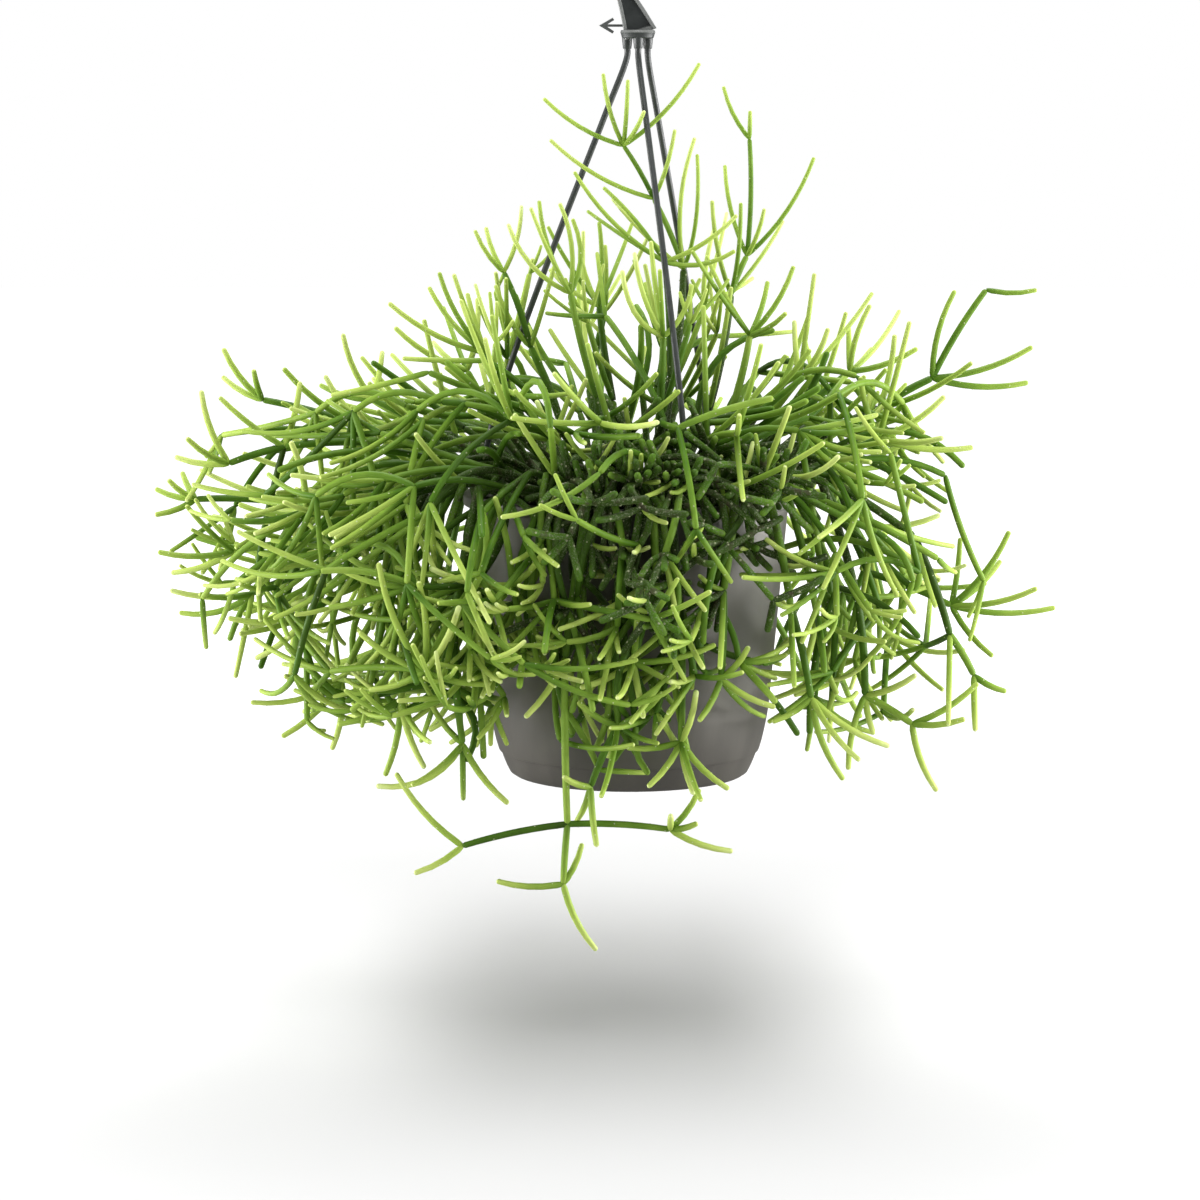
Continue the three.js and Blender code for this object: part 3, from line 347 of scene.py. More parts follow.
    Plan("spray_right_08", [33, -39], [1, 1, 1],
         [[63, -79, 158], [76, -90, 96], [86, -92, 52]],
         [[3, 124, -88, 28], [3, 67, -100, 42], [3, 102, -90, 12]]),
    Plan("spray_right_09", [49, 12], [1, 3],
         [[98, 26, 152], [124, 28, 120]],
         [[2, 158, 30, 126], [2, 146, 20, 92]]),
    Plan("spray_right_10", [44, 22], [1, 2, 3],
         [[88, 48, 154], [124, 52, 104], [134, 48, 62]],
         []),
    Plan("spray_back_01", [-21, 47], [1, 3],
         [[-44, 90, 158], [-60, 116, 118]],
         [[2, -78, 132, 84]]),
    Plan("spray_back_02", [3, 51], [1, 1, 3],
         [[4, 94, 156], [6, 114, 100], [4, 116, 50]],
         []),
    Plan("spray_back_03", [25, 44], [1, 3],
         [[48, 92, 160], [76, 118, 128]],
         [[2, 98, 134, 100]]),
    Plan("spray_back_04", [-24, 24], [1, 3],
         [[-74, 68, 164], [-108, 90, 168]],
         [[2, -134, 106, 190]]),
    Plan("spray_back_05", [24, 25], [1, 3],
         [[72, 62, 168], [100, 84, 184]],
         [[2, 128, 100, 206]]),
    Plan("spray_back_06", [-5, 34], [1, 3],
         [[-14, 66, 184], [-24, 86, 212]],
         [[2, -26, 108, 246]]),
    Plan("spray_back_07", [-35, 37], [1, 1, 2],
         [[-80, 84, 152], [-94, 98, 92], [-98, 100, 44]],
         [[3, -112, 106, 8]]),
    Plan("spray_back_09", [-12, 46], [1, 2, 3],
         [[-24, 94, 152], [-36, 110, 96], [-44, 112, 52]],
         []),
    Plan("spray_back_08", [40, 31], [1, 1, 2],
         [[84, 74, 152], [104, 90, 94], [110, 92, 46]],
         [[3, 124, 98, 10]]),
]


def radians(degrees):
    return degrees * math.pi / 180


def unit(v):
    return v / math.sqrt(v @ v)


def dice(seed):
    """A small linear congruential generator, so that every spray grows the same way each time."""
    state = seed

    def roll(span):
        nonlocal state
        state = (state * 48271) % 2147483647
        return span[0] + ((span[1] - span[0]) * state) / 2147483647

    return roll


def bezier(a, control, b, chords):
    t = np.linspace(0, 1, chords + 1)[:, None]
    return (1 - t) ** 2 * a + 2 * (1 - t) * t * control + t * t * b


def catmull(points, count):
    """A centripetal Catmull-Rom curve through the points, at even steps of its parameter."""
    points = np.array(points, float)
    points = np.vstack([2 * points[0] - points[1], points, 2 * points[-1] - points[-2]])
    out = []
    spans = len(points) - 3
    for i in range(count + 1):
        place = min(i / count * spans, spans - 1e-9)
        k, t = int(place), place - int(place)
        p0, p1, p2, p3 = points[k : k + 4]
        chords = (p1 - p0, p2 - p1, p3 - p2)
        d0, d1, d2 = (max(1e-6, np.linalg.norm(chord) ** 0.5) for chord in chords)
        m1 = ((p1 - p0) / d0 - (p2 - p0) / (d0 + d1) + (p2 - p1) / d1) * d1
        m2 = ((p2 - p1) / d1 - (p3 - p1) / (d1 + d2) + (p3 - p2) / d2) * d1
        out.append(
            (2 * t**3 - 3 * t**2 + 1) * p1
            + (t**3 - 2 * t**2 + t) * m1
            + (3 * t**2 - 2 * t**3) * p2
            + (t**3 - t**2) * m2
        )
    return np.array(out)


# What stems keep clear of


class Thicket:
    """Straight stretches of stem and hanger, each with an owner and a radius."""

    def __init__(self, room):
        self.count = 0
        self.a, self.b, self.low, self.high = (np.zeros((room, 3)) for _ in range(4))
        self.radius, self.owner = np.zeros(room), np.zeros(room, int)

    def occupy(self, owner, points, radius):
        for a, b in zip(points[:-1], points[1:]):
            n = self.count
            self.a[n], self.b[n], self.radius[n], self.owner[n] = a, b, radius, owner
            self.low[n], self.high[n] = np.minimum(a, b) - radius, np.maximum(a, b) + radius
            self.count += 1

    def blocks(self, owner, a, b, reach, minds_own):
        """True where a stretch comes nearer to the line from a to b than reach."""
        n = self.count
        low, high = np.minimum(a, b) - reach, np.maximum(a, b) + reach
        near = np.all((self.low[:n] < high) & (self.high[:n] > low), axis=1)
        if not minds_own:
            near &= self.owner[:n] != owner
        if not near.any():
            return False
        c, d, radius = self.a[:n][near], self.b[:n][near], self.radius[:n][near]
        u, v, w = b - a, d - c, a - c
        uu, vv, uv = u @ u, (v * v).sum(1), v @ u
        uw, vw = w @ u, (v * w).sum(1)
        square = uu * vv - uv * uv
        crossing = square > 1e-9
        safe = np.where(crossing, square, 1)
        s = np.where(crossing, np.clip((uv * vw - vv * uw) / safe, 0, 1), 0)
        t = np.clip((uv * s + vw) / vv, 0, 1)
        s = np.clip((uv * t - uw) / uu, 0, 1)
        gap = np.linalg.norm(a + s[:, None] * u - c - t[:, None] * v, axis=1)
        return bool((gap < radius + reach).any())

    def meets(self, points, reach):
        return any(self.blocks(0, a, b, reach, True) for a, b in zip(points[:-1], points[1:]))


thicket = Thicket(40000)
hanger = Thicket(100)
HANGER_OWNER = -1


def soil_top(radius):
    return SOIL_EDGE + SOIL_DOME * (1 - (radius / WALL_TOP_RADIUS) ** 2)


def clear_of_pot(points, radius, air):
    out, z = np.hypot(points[:, 0], points[:, 1]), points[:, 2]
    air = radius + air
    outside = (z > POT_HEIGHT + air) | (z < -air) | (out > LIP_RADIUS + air)
    inside = (out < WALL_TOP_RADIUS - POT_WALL - air) & (z > soil_top(out) + radius + 0.5)
    return bool((outside | inside).all())


CHECKED = np.linspace(0, 1, 9)[:, None]  # places along a stretch


def is_clear(owner, points, radius, minds_own, air=CLEARANCE):
    """True where a stem along the points clears the pot, the soil and every other spray. A shoot's
    last stretch, which is well away from its joint, minds its own spray too."""
    for i in range(1, len(points)):
        a, b = points[i - 1], points[i]
        along = a + (b - a) * CHECKED
        if along[:, 2].max() > PLANT_TOP or not clear_of_pot(along, radius, air):
            return False
        last = minds_own and i == len(points) - 1
        if thicket.blocks(owner, a, b, radius + air, last):
            return False
    return True


def lift_and_side(along, at):
    """The direction square to a stretch that points most nearly up, or outwards where the
    stretch is upright, and the one square to both."""
    steep = abs(along[2]) > 0.95
    aim = unit(np.array([at[0], at[1], 0.0])) if steep else np.array([0.0, 0.0, 1.0])
    lift = unit(aim - along * (along @ aim))
    return lift, np.cross(along, lift)


def bow_control(start, end, up, across):
    """The control point of a line that bows up and across by these shares of its length."""
    length = math.sqrt((end - start) @ (end - start))
    lift, side = lift_and_side((end - start) / length, end)
    return (start + end) / 2 + lift * (up * length) + side * (across * length)


# Bows to try for a main stem, up and across, and for a placed shoot its sags and how far its tip
# may move in depth
BOWS = [
    (0.05, 0), (0.05, 0.1), (0.05, -0.1), (0.2, 0), (0, 0.15), (0, -0.15), (0.25, 0.2),
    (0.25, -0.2), (-0.12, 0), (0.4, 0), (-0.1, 0.25), (-0.1, -0.25), (0.1, 0.4), (0.1, -0.4),
    (0.5, 0.3), (0.5, -0.3),
]
SAGS = (-0.13, -0.22, -0.05, 0.08, -0.32)
DEPTHS = (0, -6, 6, -12, 12, -18, 18, -26, 26)


def lifted(line, radius):
    """The line, its middle moved until all of its curve clears the pot and the hanger."""
    start, control, end = line
    across = unit(np.array([start[1] - end[1], end[0] - start[0], 0.0]))
    for shift in RIM_SHIFTS:
        for lift in RIM_LIFTS:
            moved = control + across * shift + np.array([0.0, 0.0, lift])
            points = bezier(start, moved, end, RIM_CHORDS)
            free = not hanger.meets(points, radius + RIM_AIR)
            if free and clear_of_pot(points, radius, RIM_AIR):
                return (start, moved, end)
    return line


class Stem:
    """One length of stem between joints: a bent line with a radius and an age at each end."""

    def __init__(self, line, radii, ages, kind):
        self.line, self.radii, self.ages, self.kind = line, radii, ages, kind

    def tip(self):
        return self.line[2], unit(self.line[2] - self.line[1])


def root_stem(foot, radius):
    """The stretch in the soil and just above it, whose round end fills the bend there."""
    low, bend = foot
    high = bend + np.array([0.0, 0.0, radius])
    return Stem((low, (low + high) / 2, high), [radius, radius], (1.0, 1.0), "rooted")


class Joint:
    def __init__(self, at, along):
        self.at, self.along, self.leads = at, along, []


Limb = namedtuple("Limb", "joints shoots tips")


class Spray:
    """A rooted stem with its joints, and the shoots that they carry. A strict one isn't whole
    where one of its lengths finds no room, and keeps less clear of the others."""

    def __init__(self, plan, number, strict=False):
        self.name, self.number = plan.name, number
        self.roll = dice(1000 + 77 * number)
        self.stems, self.limbs, self.ends = [], [], []
        self.whole = True
        x, y = plan.root
        ground = soil_top(math.hypot(x, y))
        foot = [np.array([x, y, ground + z]) for z in (FIT - ROOT_DEPTH, BEND_HEIGHT)]
        self.foot = root_stem(foot, FILL_RADII[0] if strict else STEM_ROOT_RADIUS)
        self.grow_limb(plan, foot, strict)
        for branch in plan.branches:
            self.grow_limb(branch, [self.limbs[0].joints[branch.joint - 1].at], strict)

    def joints(self):
        return [joint for limb in self.limbs for joint in limb.joints]

    def grow_limb(self, plan, start, strict):
        rooted = len(start) > 1
        path = list(start)
        limb = Limb([], plan.shoots, plan.tips)
        lines = []
        for index, place in enumerate(plan.stem):
            end = np.array(place, float)
            line, grown = self.grow_length(path[-1], end, index == 0 and rooted, strict)
            if line is None:
                self.whole = False
                return
            path += list(grown[1:])
            limb.joints.append(Joint(end, unit(end - grown[-2])))
            lines.append(line)
        thick = STEM_ROOT_RADIUS if rooted else STEM_END_RADIUS
        thin = STEM_END_RADIUS if rooted else PLAIN_SHOOT.radius
        if strict:
            thick, thin = FILL_RADII
        for i, line in enumerate(lines):
            shares = (i / len(lines), (i + 1) / len(lines))
            radii = [thick + (thin - thick) * share for share in shares]
            ages = [1 - 0.5 * share if rooted else 0.7 - 0.2 * share for share in shares]
            kind = "rooted" if rooted and i == 0 else "main"
            if strict and kind == "rooted":
                line = lifted(line, thick)
            self.stems.append(Stem(line, radii, ages, kind))
        thicket.occupy(self.number, path, thick)
        self.limbs.append(limb)

    def grow_length(self, start, end, first, strict):
        chords = 3 if first else 2
        air, radius = (DENSE_CLEARANCE, FILL_RADII[0]) if strict else (CLEARANCE, STEM_ROOT_RADIUS)
        if self.name in CROWDED:
            air = CROWDED_CLEARANCE
        bows = list(BOWS)
        if strict:
            first_bow = int(self.roll((0, len(BOWS) - 3)))
            bows = (bows[first_bow:] + bows[:first_bow])[:FILL_BOWS]
        lines = [(start, bow_control(start, end, up, across), end) for up, across in bows]
        for line in lines:
            points = bezier(*line, chords)
            if is_clear(self.number, points, radius, False, air):
                return line, points
        return (None, None) if strict else (lines[0], bezier(*lines[0], chords))

    def add_shoot(self, joint, line, points, habit):
        joint.leads.append(unit(points[1] - points[0]))
        thicket.occupy(self.number, points, habit.radius)
        stem = Stem(line, [habit.radius] * 2, habit.ages, habit.kind)
        self.stems.append(stem)
        return stem

    def fits(self, joint, points, radius, fork=LEAST_FORK, air=CLEARANCE):
        lead, least = unit(points[1] - points[0]), math.cos(radians(fork))
        if any(other @ lead > least for other in joint.leads):
            return False
        return is_clear(self.number, points, radius, True, air)

    def grow_placed_shoots(self):
        for limb in self.limbs:
            for number, *tip in limb.tips:
                self.grow_placed_shoot(limb.joints[number - 1], tip)

    def grow_placed_shoot(self, joint, tip):
        for depth in DEPTHS:
            for sag in SAGS:
                end = np.array([tip[0], tip[1] + depth, tip[2]], float)
                line = (joint.at, bow_control(joint.at, end, sag, 0), end)
                points = bezier(*line, 2)
                if self.fits(joint, points, PLACED_SHOOT.radius):
                    self.add_shoot(joint, line, points, PLACED_SHOOT)
                    return

    def grow_round(self, number):
        for limb in self.limbs:
            for joint, wanted in zip(limb.joints, limb.shoots):
                if wanted > number:
                    self.grow_free_shoot(joint)

    def grow_free_shoot(self, joint):
        lift, side = lift_and_side(joint.along, joint.at)
        for _ in range(TRIES):
            line = thrown(self.roll, joint, lift, side, PLAIN_SHOOT)
            points = bezier(*line, 2)
            if is_within(line[2], REACH) and self.fits(joint, points, PLAIN_SHOOT.radius):
                self.ends.append(self.add_shoot(joint, line, points, PLAIN_SHOOT))
                return


def is_within(at, box):
    return all(low < value < high for value, (low, high) in zip(at, box))


def thrown(roll, joint, lift, side, habit):
    """The line of a shoot thrown at random round the stem, turning upwards along its way."""
    lean = radians(roll(habit.spread))
    turn = radians(roll((0, 360)))
    half = roll(habit.length) / 2
    rise = roll(habit.rise)
    out = joint.along * math.cos(lean)
    out = out + lift * (math.sin(lean) * math.cos(turn)) + side * (math.sin(lean) * math.sin(turn))
    control = joint.at + out * half
    out = unit(out + np.array([0.0, 0.0, rise]))
    return (joint.at, control, control + out * half)


def arm_top(side):
    turn = radians(SOCKET_TURNS[side])
    x = HEAD_X + SOCKET_RING * math.cos(turn)
    return np.array([x, SOCKET_RING * math.sin(turn), HEAD_BOTTOM - 3.0])


def arm_points(side):
    """An arm's middle line, from its socket down to its lug."""
    top, lug = arm_top(side), ring_place(LUG_RING, ARM_TURNS[side], 0)
    sweep = [
        np.array([top[0] + (lug[0] - top[0]) * share, top[1] + (lug[1] - top[1]) * share, height])
        for height, share in ARM_SWEEP
    ]
    foot = np.array([lug[0], lug[1], BARB_TOP - BARB_LENGTH + 1.2])
    return [top, *sweep, foot]


def ring_place(radius, turn, height):
    return np.array([radius * math.cos(radians(turn)), radius * math.sin(radians(turn)), height])


def occupy_hanger():
    """Takes up the hanger's room: arms, barbs, lugs and head."""
    head = [np.array([HEAD_X, 0, HEAD_BOTTOM + z]) for z in (5.0, -9.0)]
    for taken in (thicket, hanger):
        for side, turn in ARM_TURNS.items():
            barb = [ring_place(LUG_RING, turn, height) for height in (LUG_TOP, LUG_TOP - 11)]
            ends = (LUG_RING - 2, LUG_RING + 3)
            lug = [ring_place(radius, turn, LUG_TOP - LUG_THICK / 2) for radius in ends]
            taken.occupy(HANGER_OWNER, catmull(arm_points(side), 12), ARM_RADIUS)
            taken.occupy(HANGER_OWNER, barb, BARB_RADIUS)
            taken.occupy(HANGER_OWNER, lug, 6)
        taken.occupy(HANGER_OWNER, head, 9)


# What only this model grows

MASS_CENTRE = (-10, 110)
MASS_DEPTH = 158
# The plant's body seen from the front, without its longest shoots
MASS_OUTLINE = [
    (-80, 271), (-35, 268), (5, 263), (45, 263), (80, 248), (100, 223), (135, 208), (165, 172),
    (168, 126), (188, 86), (166, 44), (125, 14), (75, 4), (5, -13), (-65, -3), (-115, 4),
    (-175, 24), (-215, 60), (-234, 106), (-232, 142), (-206, 182), (-165, 197), (-120, 222),
    (-95, 256),
]
# Stretches of the pot's front that the stems leave bare: from and to in x, from and to in z
BARE_PATCHES = [
    (-58, -36, 12, 62), (30, 52, 16, 62), (44, 64, 78, 108), (-62, -24, -10, 8), (30, 62, -10, 8),
]

# Where the old growth hangs over the pot's front rim, in x, y and z
OLD_GROWTH = ((-34, 74), (-135, -50), (92, 170))
BRANCH_BELOW = 205
SECOND_BRANCHES = 0.5  # as a share of the first ones
FADE = (0.72, 1.0)  # the body that a shoot must end in, so that the plant thins out at its edge

# For each kind of filling spray: the ring that its root keeps to, and for each joint of its
# stem the ring and the heights
KINDS = {
    "upright": [(4, 34), ((12, 45), (172, 198)), ((30, 85), (205, 245))],
    "leaning": [(15, 48), ((52, 85), (158, 185)), ((85, 125), (170, 212))],
    "spreading": [(30, 53), ((90, 104), (152, 165)), ((125, 165), (118, 168))],
    "trailing": [
        (38, 56), ((91, 102), (150, 160)), ((122, 150), (98, 145)), ((150, 188), (52, 118)),
    ],
    "hanging": [(44, 57), ((91, 98), (149, 158)), ((98, 118), (82, 115)), ((104, 132), (26, 62))],
    "curtain": [(40, 57), ((88, 95), (146, 160)), ((90, 104), (78, 122)), ((92, 112), (26, 70))],
    "cane": [(30, 57), ((54, 78), (148, 176)), ((84, 102), (118, 160))],
}
# Filling sprays: kind, how many, and the range of degrees round the pot
FILLERS = [
    ("curtain", 9, (-112, -66)),
    ("hanging", 3, (170, 235)),
    ("hanging", 1, (-60, 10)),
    ("trailing", 5, (150, 235)),
    ("trailing", 2, (-48, 20)),
    ("hanging", 6, (50, 165)),
    ("cane", 20, (-106, -44)),
    ("leaning", 7, (-150, -100)),
    ("leaning", 5, (-80, -30)),
    ("upright", 6, (0, 360)),
    ("leaning", 5, (110, 265)),
    ("leaning", 5, (-80, 80)),
    ("spreading", 5, (120, 250)),
    ("spreading", 4, (-60, 60)),
]
# Filling sprays that hang before the middle of the pot: root [x, y] and joints [x, y, z], each
# give or take a few millimetres
FRONT_SPRAYS = [
    [[-10, -46], [-14, -90, 150], [-20, -100, 112], [-14, -100, 64], [-16, -98, 30]],
    [[8, -50], [10, -92, 150], [21, -104, 114], [15, -100, 70], [27, -96, 30]],
    [[22, -48], [32, -90, 150], [30, -104, 102], [33, -100, 66]],
    [[-22, -44], [-28, -88, 150], [-26, -100, 92], [-38, -98, 62]],
    [[0, -44], [-2, -90, 152], [4, -108, 124], [8, -106, 92], [4, -100, 48]],
    [[34, -42], [42, -86, 150], [40, -94, 104], [46, -92, 68]],
    [[-16, -40], [-18, -88, 156], [-8, -108, 128], [-12, -106, 86]],
    [[14, -42], [24, -88, 156], [14, -110, 130], [22, -108, 88]],
    [[-30, -40], [-44, -84, 154], [-40, -98, 122], [-52, -98, 84]],
    [[28, -38], [52, -78, 154], [38, -102, 126], [30, -104, 78]],
    [[2, -52], [6, -91, 148], [-4, -96, 84], [-10, -96, 46]],
    [[18, -50], [17, -91, 148], [32, -94, 84], [14, -96, 40]],
    [[-6, -36], [-6, -88, 158], [-30, -102, 98], [-27, -102, 50]],
    [[-36, -34], [-58, -70, 152], [-66, -84, 108], [-74, -86, 68]],
    [[-28, -40], [-46, -82, 153], [-54, -94, 104], [-62, -92, 72]],
    [[-40, -30], [-66, -60, 152], [-80, -76, 100], [-88, -80, 52], [-78, -84, 26]],
    [[-32, -38], [-54, -76, 150], [-46, -94, 98], [-40, -96, 66]],
    [[12, -50], [12, -91, 148], [10, -98, 96], [2, -98, 56], [-4, -96, 22]],
    [[24, -46], [30, -88, 148], [26, -98, 92], [22, -97, 52], [16, -95, 20]],
    [[-12, -44], [-12, -90, 150], [-18, -98, 88], [-26, -96, 46], [-20, -94, 18]],
    [[5, -48], [8, -91, 148], [-8, -98, 88], [6, -97, 44], [12, -95, 20]],
    [[-4, -52], [-8, -92, 147], [2, -98, 90], [-10, -98, 56], [0, -95, 24]],
    [[30, -40], [36, -87, 149], [44, -92, 96], [34, -95, 60], [40, -90, 30]],
]
FRONT_SHAKE = (9, 6)  # of a root and of a joint
BEFORE_POT = ((-92, 76), (-130, -58), (8, 140))  # in x, y and z
ROOT_GAP = 4.6
PLACES = 60  # tried for each filling spray
ROOT_TURN = (-14, 14)  # degrees, of a root from its first joint
JOINT_TURN = (-9, 9)  # of each joint from the one before
WIDE_FROM = 95  # outside this ring the plant is wider across than it is deep
WIDER = 0.0042
SHALLOWER = 0.0034


def within_outline(x, z):
    inside = False
    for (ax, az), (bx, bz) in zip(MASS_OUTLINE, MASS_OUTLINE[1:] + MASS_OUTLINE[:1]):
        if (az > z) != (bz > z) and x < ax + (z - az) * (bx - ax) / (bz - az):
            inside = not inside
    return inside


def within_mass(point, size=1):
    """True inside the plant's body: its outline from the front, drawn in towards the back and
    the front as an ellipse is. A size under 1 means a smaller body of the same shape."""
    depth = point[1] / (MASS_DEPTH * size)
    if abs(depth) >= 1:
        return False
    scale = size * math.sqrt(1 - depth * depth)
    x, z = (MASS_CENTRE[i] + (point[2 * i] - MASS_CENTRE[i]) / scale for i in (0, 1))
    return within_outline(x, z)


def hides_bare_patch(points):
    return any(
        y < -30 and x0 < x < x1 and z0 < z < z1
        for x, y, z in points
        for x0, x1, z0, z1 in BARE_PATCHES
    )


def grow_more(spray, joint, counts, habit, present=0):
    """Adds stems to a joint wherever the body has room for them, up to a number thrown from the
    range of counts, less those present."""
    wanted = int(spray.roll(counts) + 0.5) - present
    lift, side = lift_and_side(joint.along, joint.at)
    grown = []
    for _ in range(wanted * DENSE_TRIES):
        line = thrown(spray.roll, joint, lift, side, habit)
        points = bezier(*line, 2)
        if not within_mass(line[2], spray.roll(FADE)) or hides_bare_patch(bezier(*line, 4)):
            continue
        if spray.fits(joint, points, habit.radius, DENSE_FORK, DENSE_CLEARANCE):
            grown.append(spray.add_shoot(joint, line, points, habit))
            if len(grown) == wanted:
                break
    return grown


def thicken(spray):
    """Fills up each joint's whorl, and the larger one at a stem's end."""
    for limb in spray.limbs:
        for joint in limb.joints:
            whorl, habit = END_WHORL if joint is limb.joints[-1] else SIDE_WHORL, SHOOT
            if is_within(joint.at, BEFORE_POT):
                whorl, habit = FRONT_WHORL, FRONT_SHOOT
            spray.ends += grow_more(spray, joint, whorl, habit, len(joint.leads))


def branching(at):
    """The share of joints that branch here: most of them in front of the rim, some on the left."""
    x, y, z = at
    if z > BRANCH_BELOW:
        return 0
    if y < -42 and (x < -25 or z < 90 or x > 82):
        return 0.8
    if y < -42:
        return 0.5
    if x < -50:
        return 0.18
    return 0.2 if x > 60 else 0.1


def add_branches(spray, joints, share):
    """Long side stems that arch over and carry whorls of their own."""
    ends = []
    for joint in joints:
        if spray.roll((0, 1)) < share * branching(joint.at):
            habit = FRONT_BRANCH if is_within(joint.at, BEFORE_POT) else BRANCH
            for branch in grow_more(spray, joint, BRANCHES, habit):
                ends.append(Joint(*branch.tip()))
    for end in ends:
        habit = FRONT_SHOOT if is_within(end.at, BEFORE_POT) else SHOOT
        spray.ends += grow_more(spray, end, BRANCH_WHORL, habit)
    return ends


def add_old_growth(spray):
    """Short old stems and stubs about the joints that lie near the pot's front rim."""
    joints = [joint for joint in spray.joints() if is_within(joint.at, OLD_GROWTH)]
    grown = []
    for joint in joints:
        branches = grow_more(spray, joint, OLD_BRANCHES, OLD_BRANCH)
        grown += [Joint(*branch.tip()) for branch in branches]
    for joint in joints + [joint for joint in grown if is_within(joint.at, OLD_GROWTH)]:
        grow_more(spray, joint, OLD_STUBS, STUB)
        grow_more(spray, joint, OLD_SPROUTS, SPROUT)


def thicken_cane(spray):
    for joint in spray.joints():
        grow_more(spray, joint, CANE_STUBS, STUB)
        grow_more(spray, joint, CANE_SPROUTS, SPROUT)


def add_twigs(spray):
    """Some shoots carry a whorl of twigs on their tips, and are older than the rest."""
    for shoot in spray.ends:
        if spray.roll((0, 1)) <= TWIG_SHARE and grow_more(spray, Joint(*shoot.tip()), TWIGS, TWIG):
            shoot.ages = TWIG_BEARER_AGES


def filler_place(roll, kind, turns):
    """A plan for a filling spray of this kind, somewhere within the range of turns."""
    turn = roll(turns)
    root_ring, *joints = KINDS[kind]
    radius = roll(root_ring)
    root_turn = radians(turn + roll(ROOT_TURN))
    stem = []
    for ring, heights in joints:
        out = roll(ring)
        beyond = max(0, out - WIDE_FROM)
        turn += roll(JOINT_TURN)
        x = out * math.cos(radians(turn)) * (1 + WIDER * beyond)
        y = out * math.sin(radians(turn)) * (1 - SHALLOWER * beyond)
        stem.append([x, y, roll(heights)])
    return Plan(kind, [radius * math.cos(root_turn), radius * math.sin(root_turn)], [], stem, [])


def front_place(roll, joints):
    """A plan for a filling spray near these joints."""
    shaken = []
    for place in joints:
        reach = FRONT_SHAKE[len(place) - 2]
        shaken.append([value + roll((-reach, reach)) for value in place])
    return Plan("front", shaken[0], [], shaken[1:], [])


def grow_fillers(roots):
    roll = dice(977)
    places = [partial(front_place, roll, joints) for joints in FRONT_SPRAYS]
    for kind, count, turns in FILLERS:
        places += [partial(filler_place, roll, kind, turns)] * count
    fillers = []
    for place in places:
        filler = grow_filler(place, roots, 100 + len(fillers))
        if filler:
            fillers.append(filler)
    return fillers


def grow_filler(place, roots, number):
    """A filling spray at the first of some places where it grows whole, or none."""
    for _ in range(PLACES):
        plan = place()
        x, y = plan.root
        if any(math.hypot(x - a, y - b) < ROOT_GAP for a, b in roots):
            continue
        bare = hides_bare_patch(np.array(plan.stem))
        if bare or not all(within_mass(joint) for joint in plan.stem):
            continue
        taken = thicket.count
        spray = Spray(plan, number, strict=True)
        if spray.whole:
            roots.append((x, y))
            return spray
        thicket.count = taken
    return None


def grow_plant():
    """The sprays that stand for the frame's, and the filling ones."""
    occupy_hanger()
    sprays = [Spray(plan, index) for index, plan in enumerate(SPRAYS)]
    for spray in sprays:
        spray.grow_placed_shoots()
    for number in range(ROUNDS):
        for spray in sprays:
            spray.grow_round(number)
    fillers = grow_fillers([tuple(plan.root) for plan in SPRAYS])
    everything = sprays + fillers
    for spray in fillers:
        if spray.name == "cane":
            thicken_cane(spray)
    for spray in everything:
        add_old_growth(spray)
    for spray in everything:
        joints = spray.joints()
        for share in (1, SECOND_BRANCHES):
            joints = add_branches(spray, joints, share)
    for spray in everything:
        if spray.name != "cane":
            thicken(spray)
    for spray in everything:
        add_twigs(spray)
    return sprays, fillers


# Meshes


class Skin:
    """The vertices and faces of one piece in the pot's millimetres, with values at each vertex."""

    def __init__(self, *values):
        self.blocks, self.faces, self.count = [], [], 0
        self.values = {name: [] for name in values}

    def add(self, verts, faces, **values):
        base = self.count
        self.blocks.append(np.asarray(verts, float))
        self.faces += [[base + i for i in face] for face in faces]
        self.count += len(verts)
        for name, held in self.values.items():
            held.append(np.broadcast_to(values.get(name, 0.0), len(verts)))

    def mesh(self, name):
        mesh = bpy.data.meshes.new(name)
        places = (np.vstack(self.blocks) - ORIGIN) * MM
        mesh.from_pydata(places.tolist(), [], self.faces)
        for value, held in self.values.items():
            layer = mesh.attributes.new(value, "FLOAT", "POINT")
            layer.data.foreach_set("value", np.concatenate(held).astype(np.float32))
        mesh.validate()
        return mesh


def piece(name, mesh, material, replaced=(), sharp=35):
    mesh.shade_smooth()
    mesh.set_sharp_from_angle(angle=radians(sharp))
    obj = bpy.data.objects.new(name, mesh)
    bpy.context.scene.collection.objects.link(obj)
    mesh.materials.append(material)
    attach(obj, BODY)
    if replaced:
        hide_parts(*replaced)
    return obj


def ring_faces(rows, sides):
    """Quads between rows of vertices, going round each row."""
    faces = []
    for row in range(rows - 1):
        a, b = row * sides, (row + 1) * sides
        for i in range(sides):
            j = (i + 1) % sides
            faces.append((a + i, a + j, b + j, b + i))
    return faces


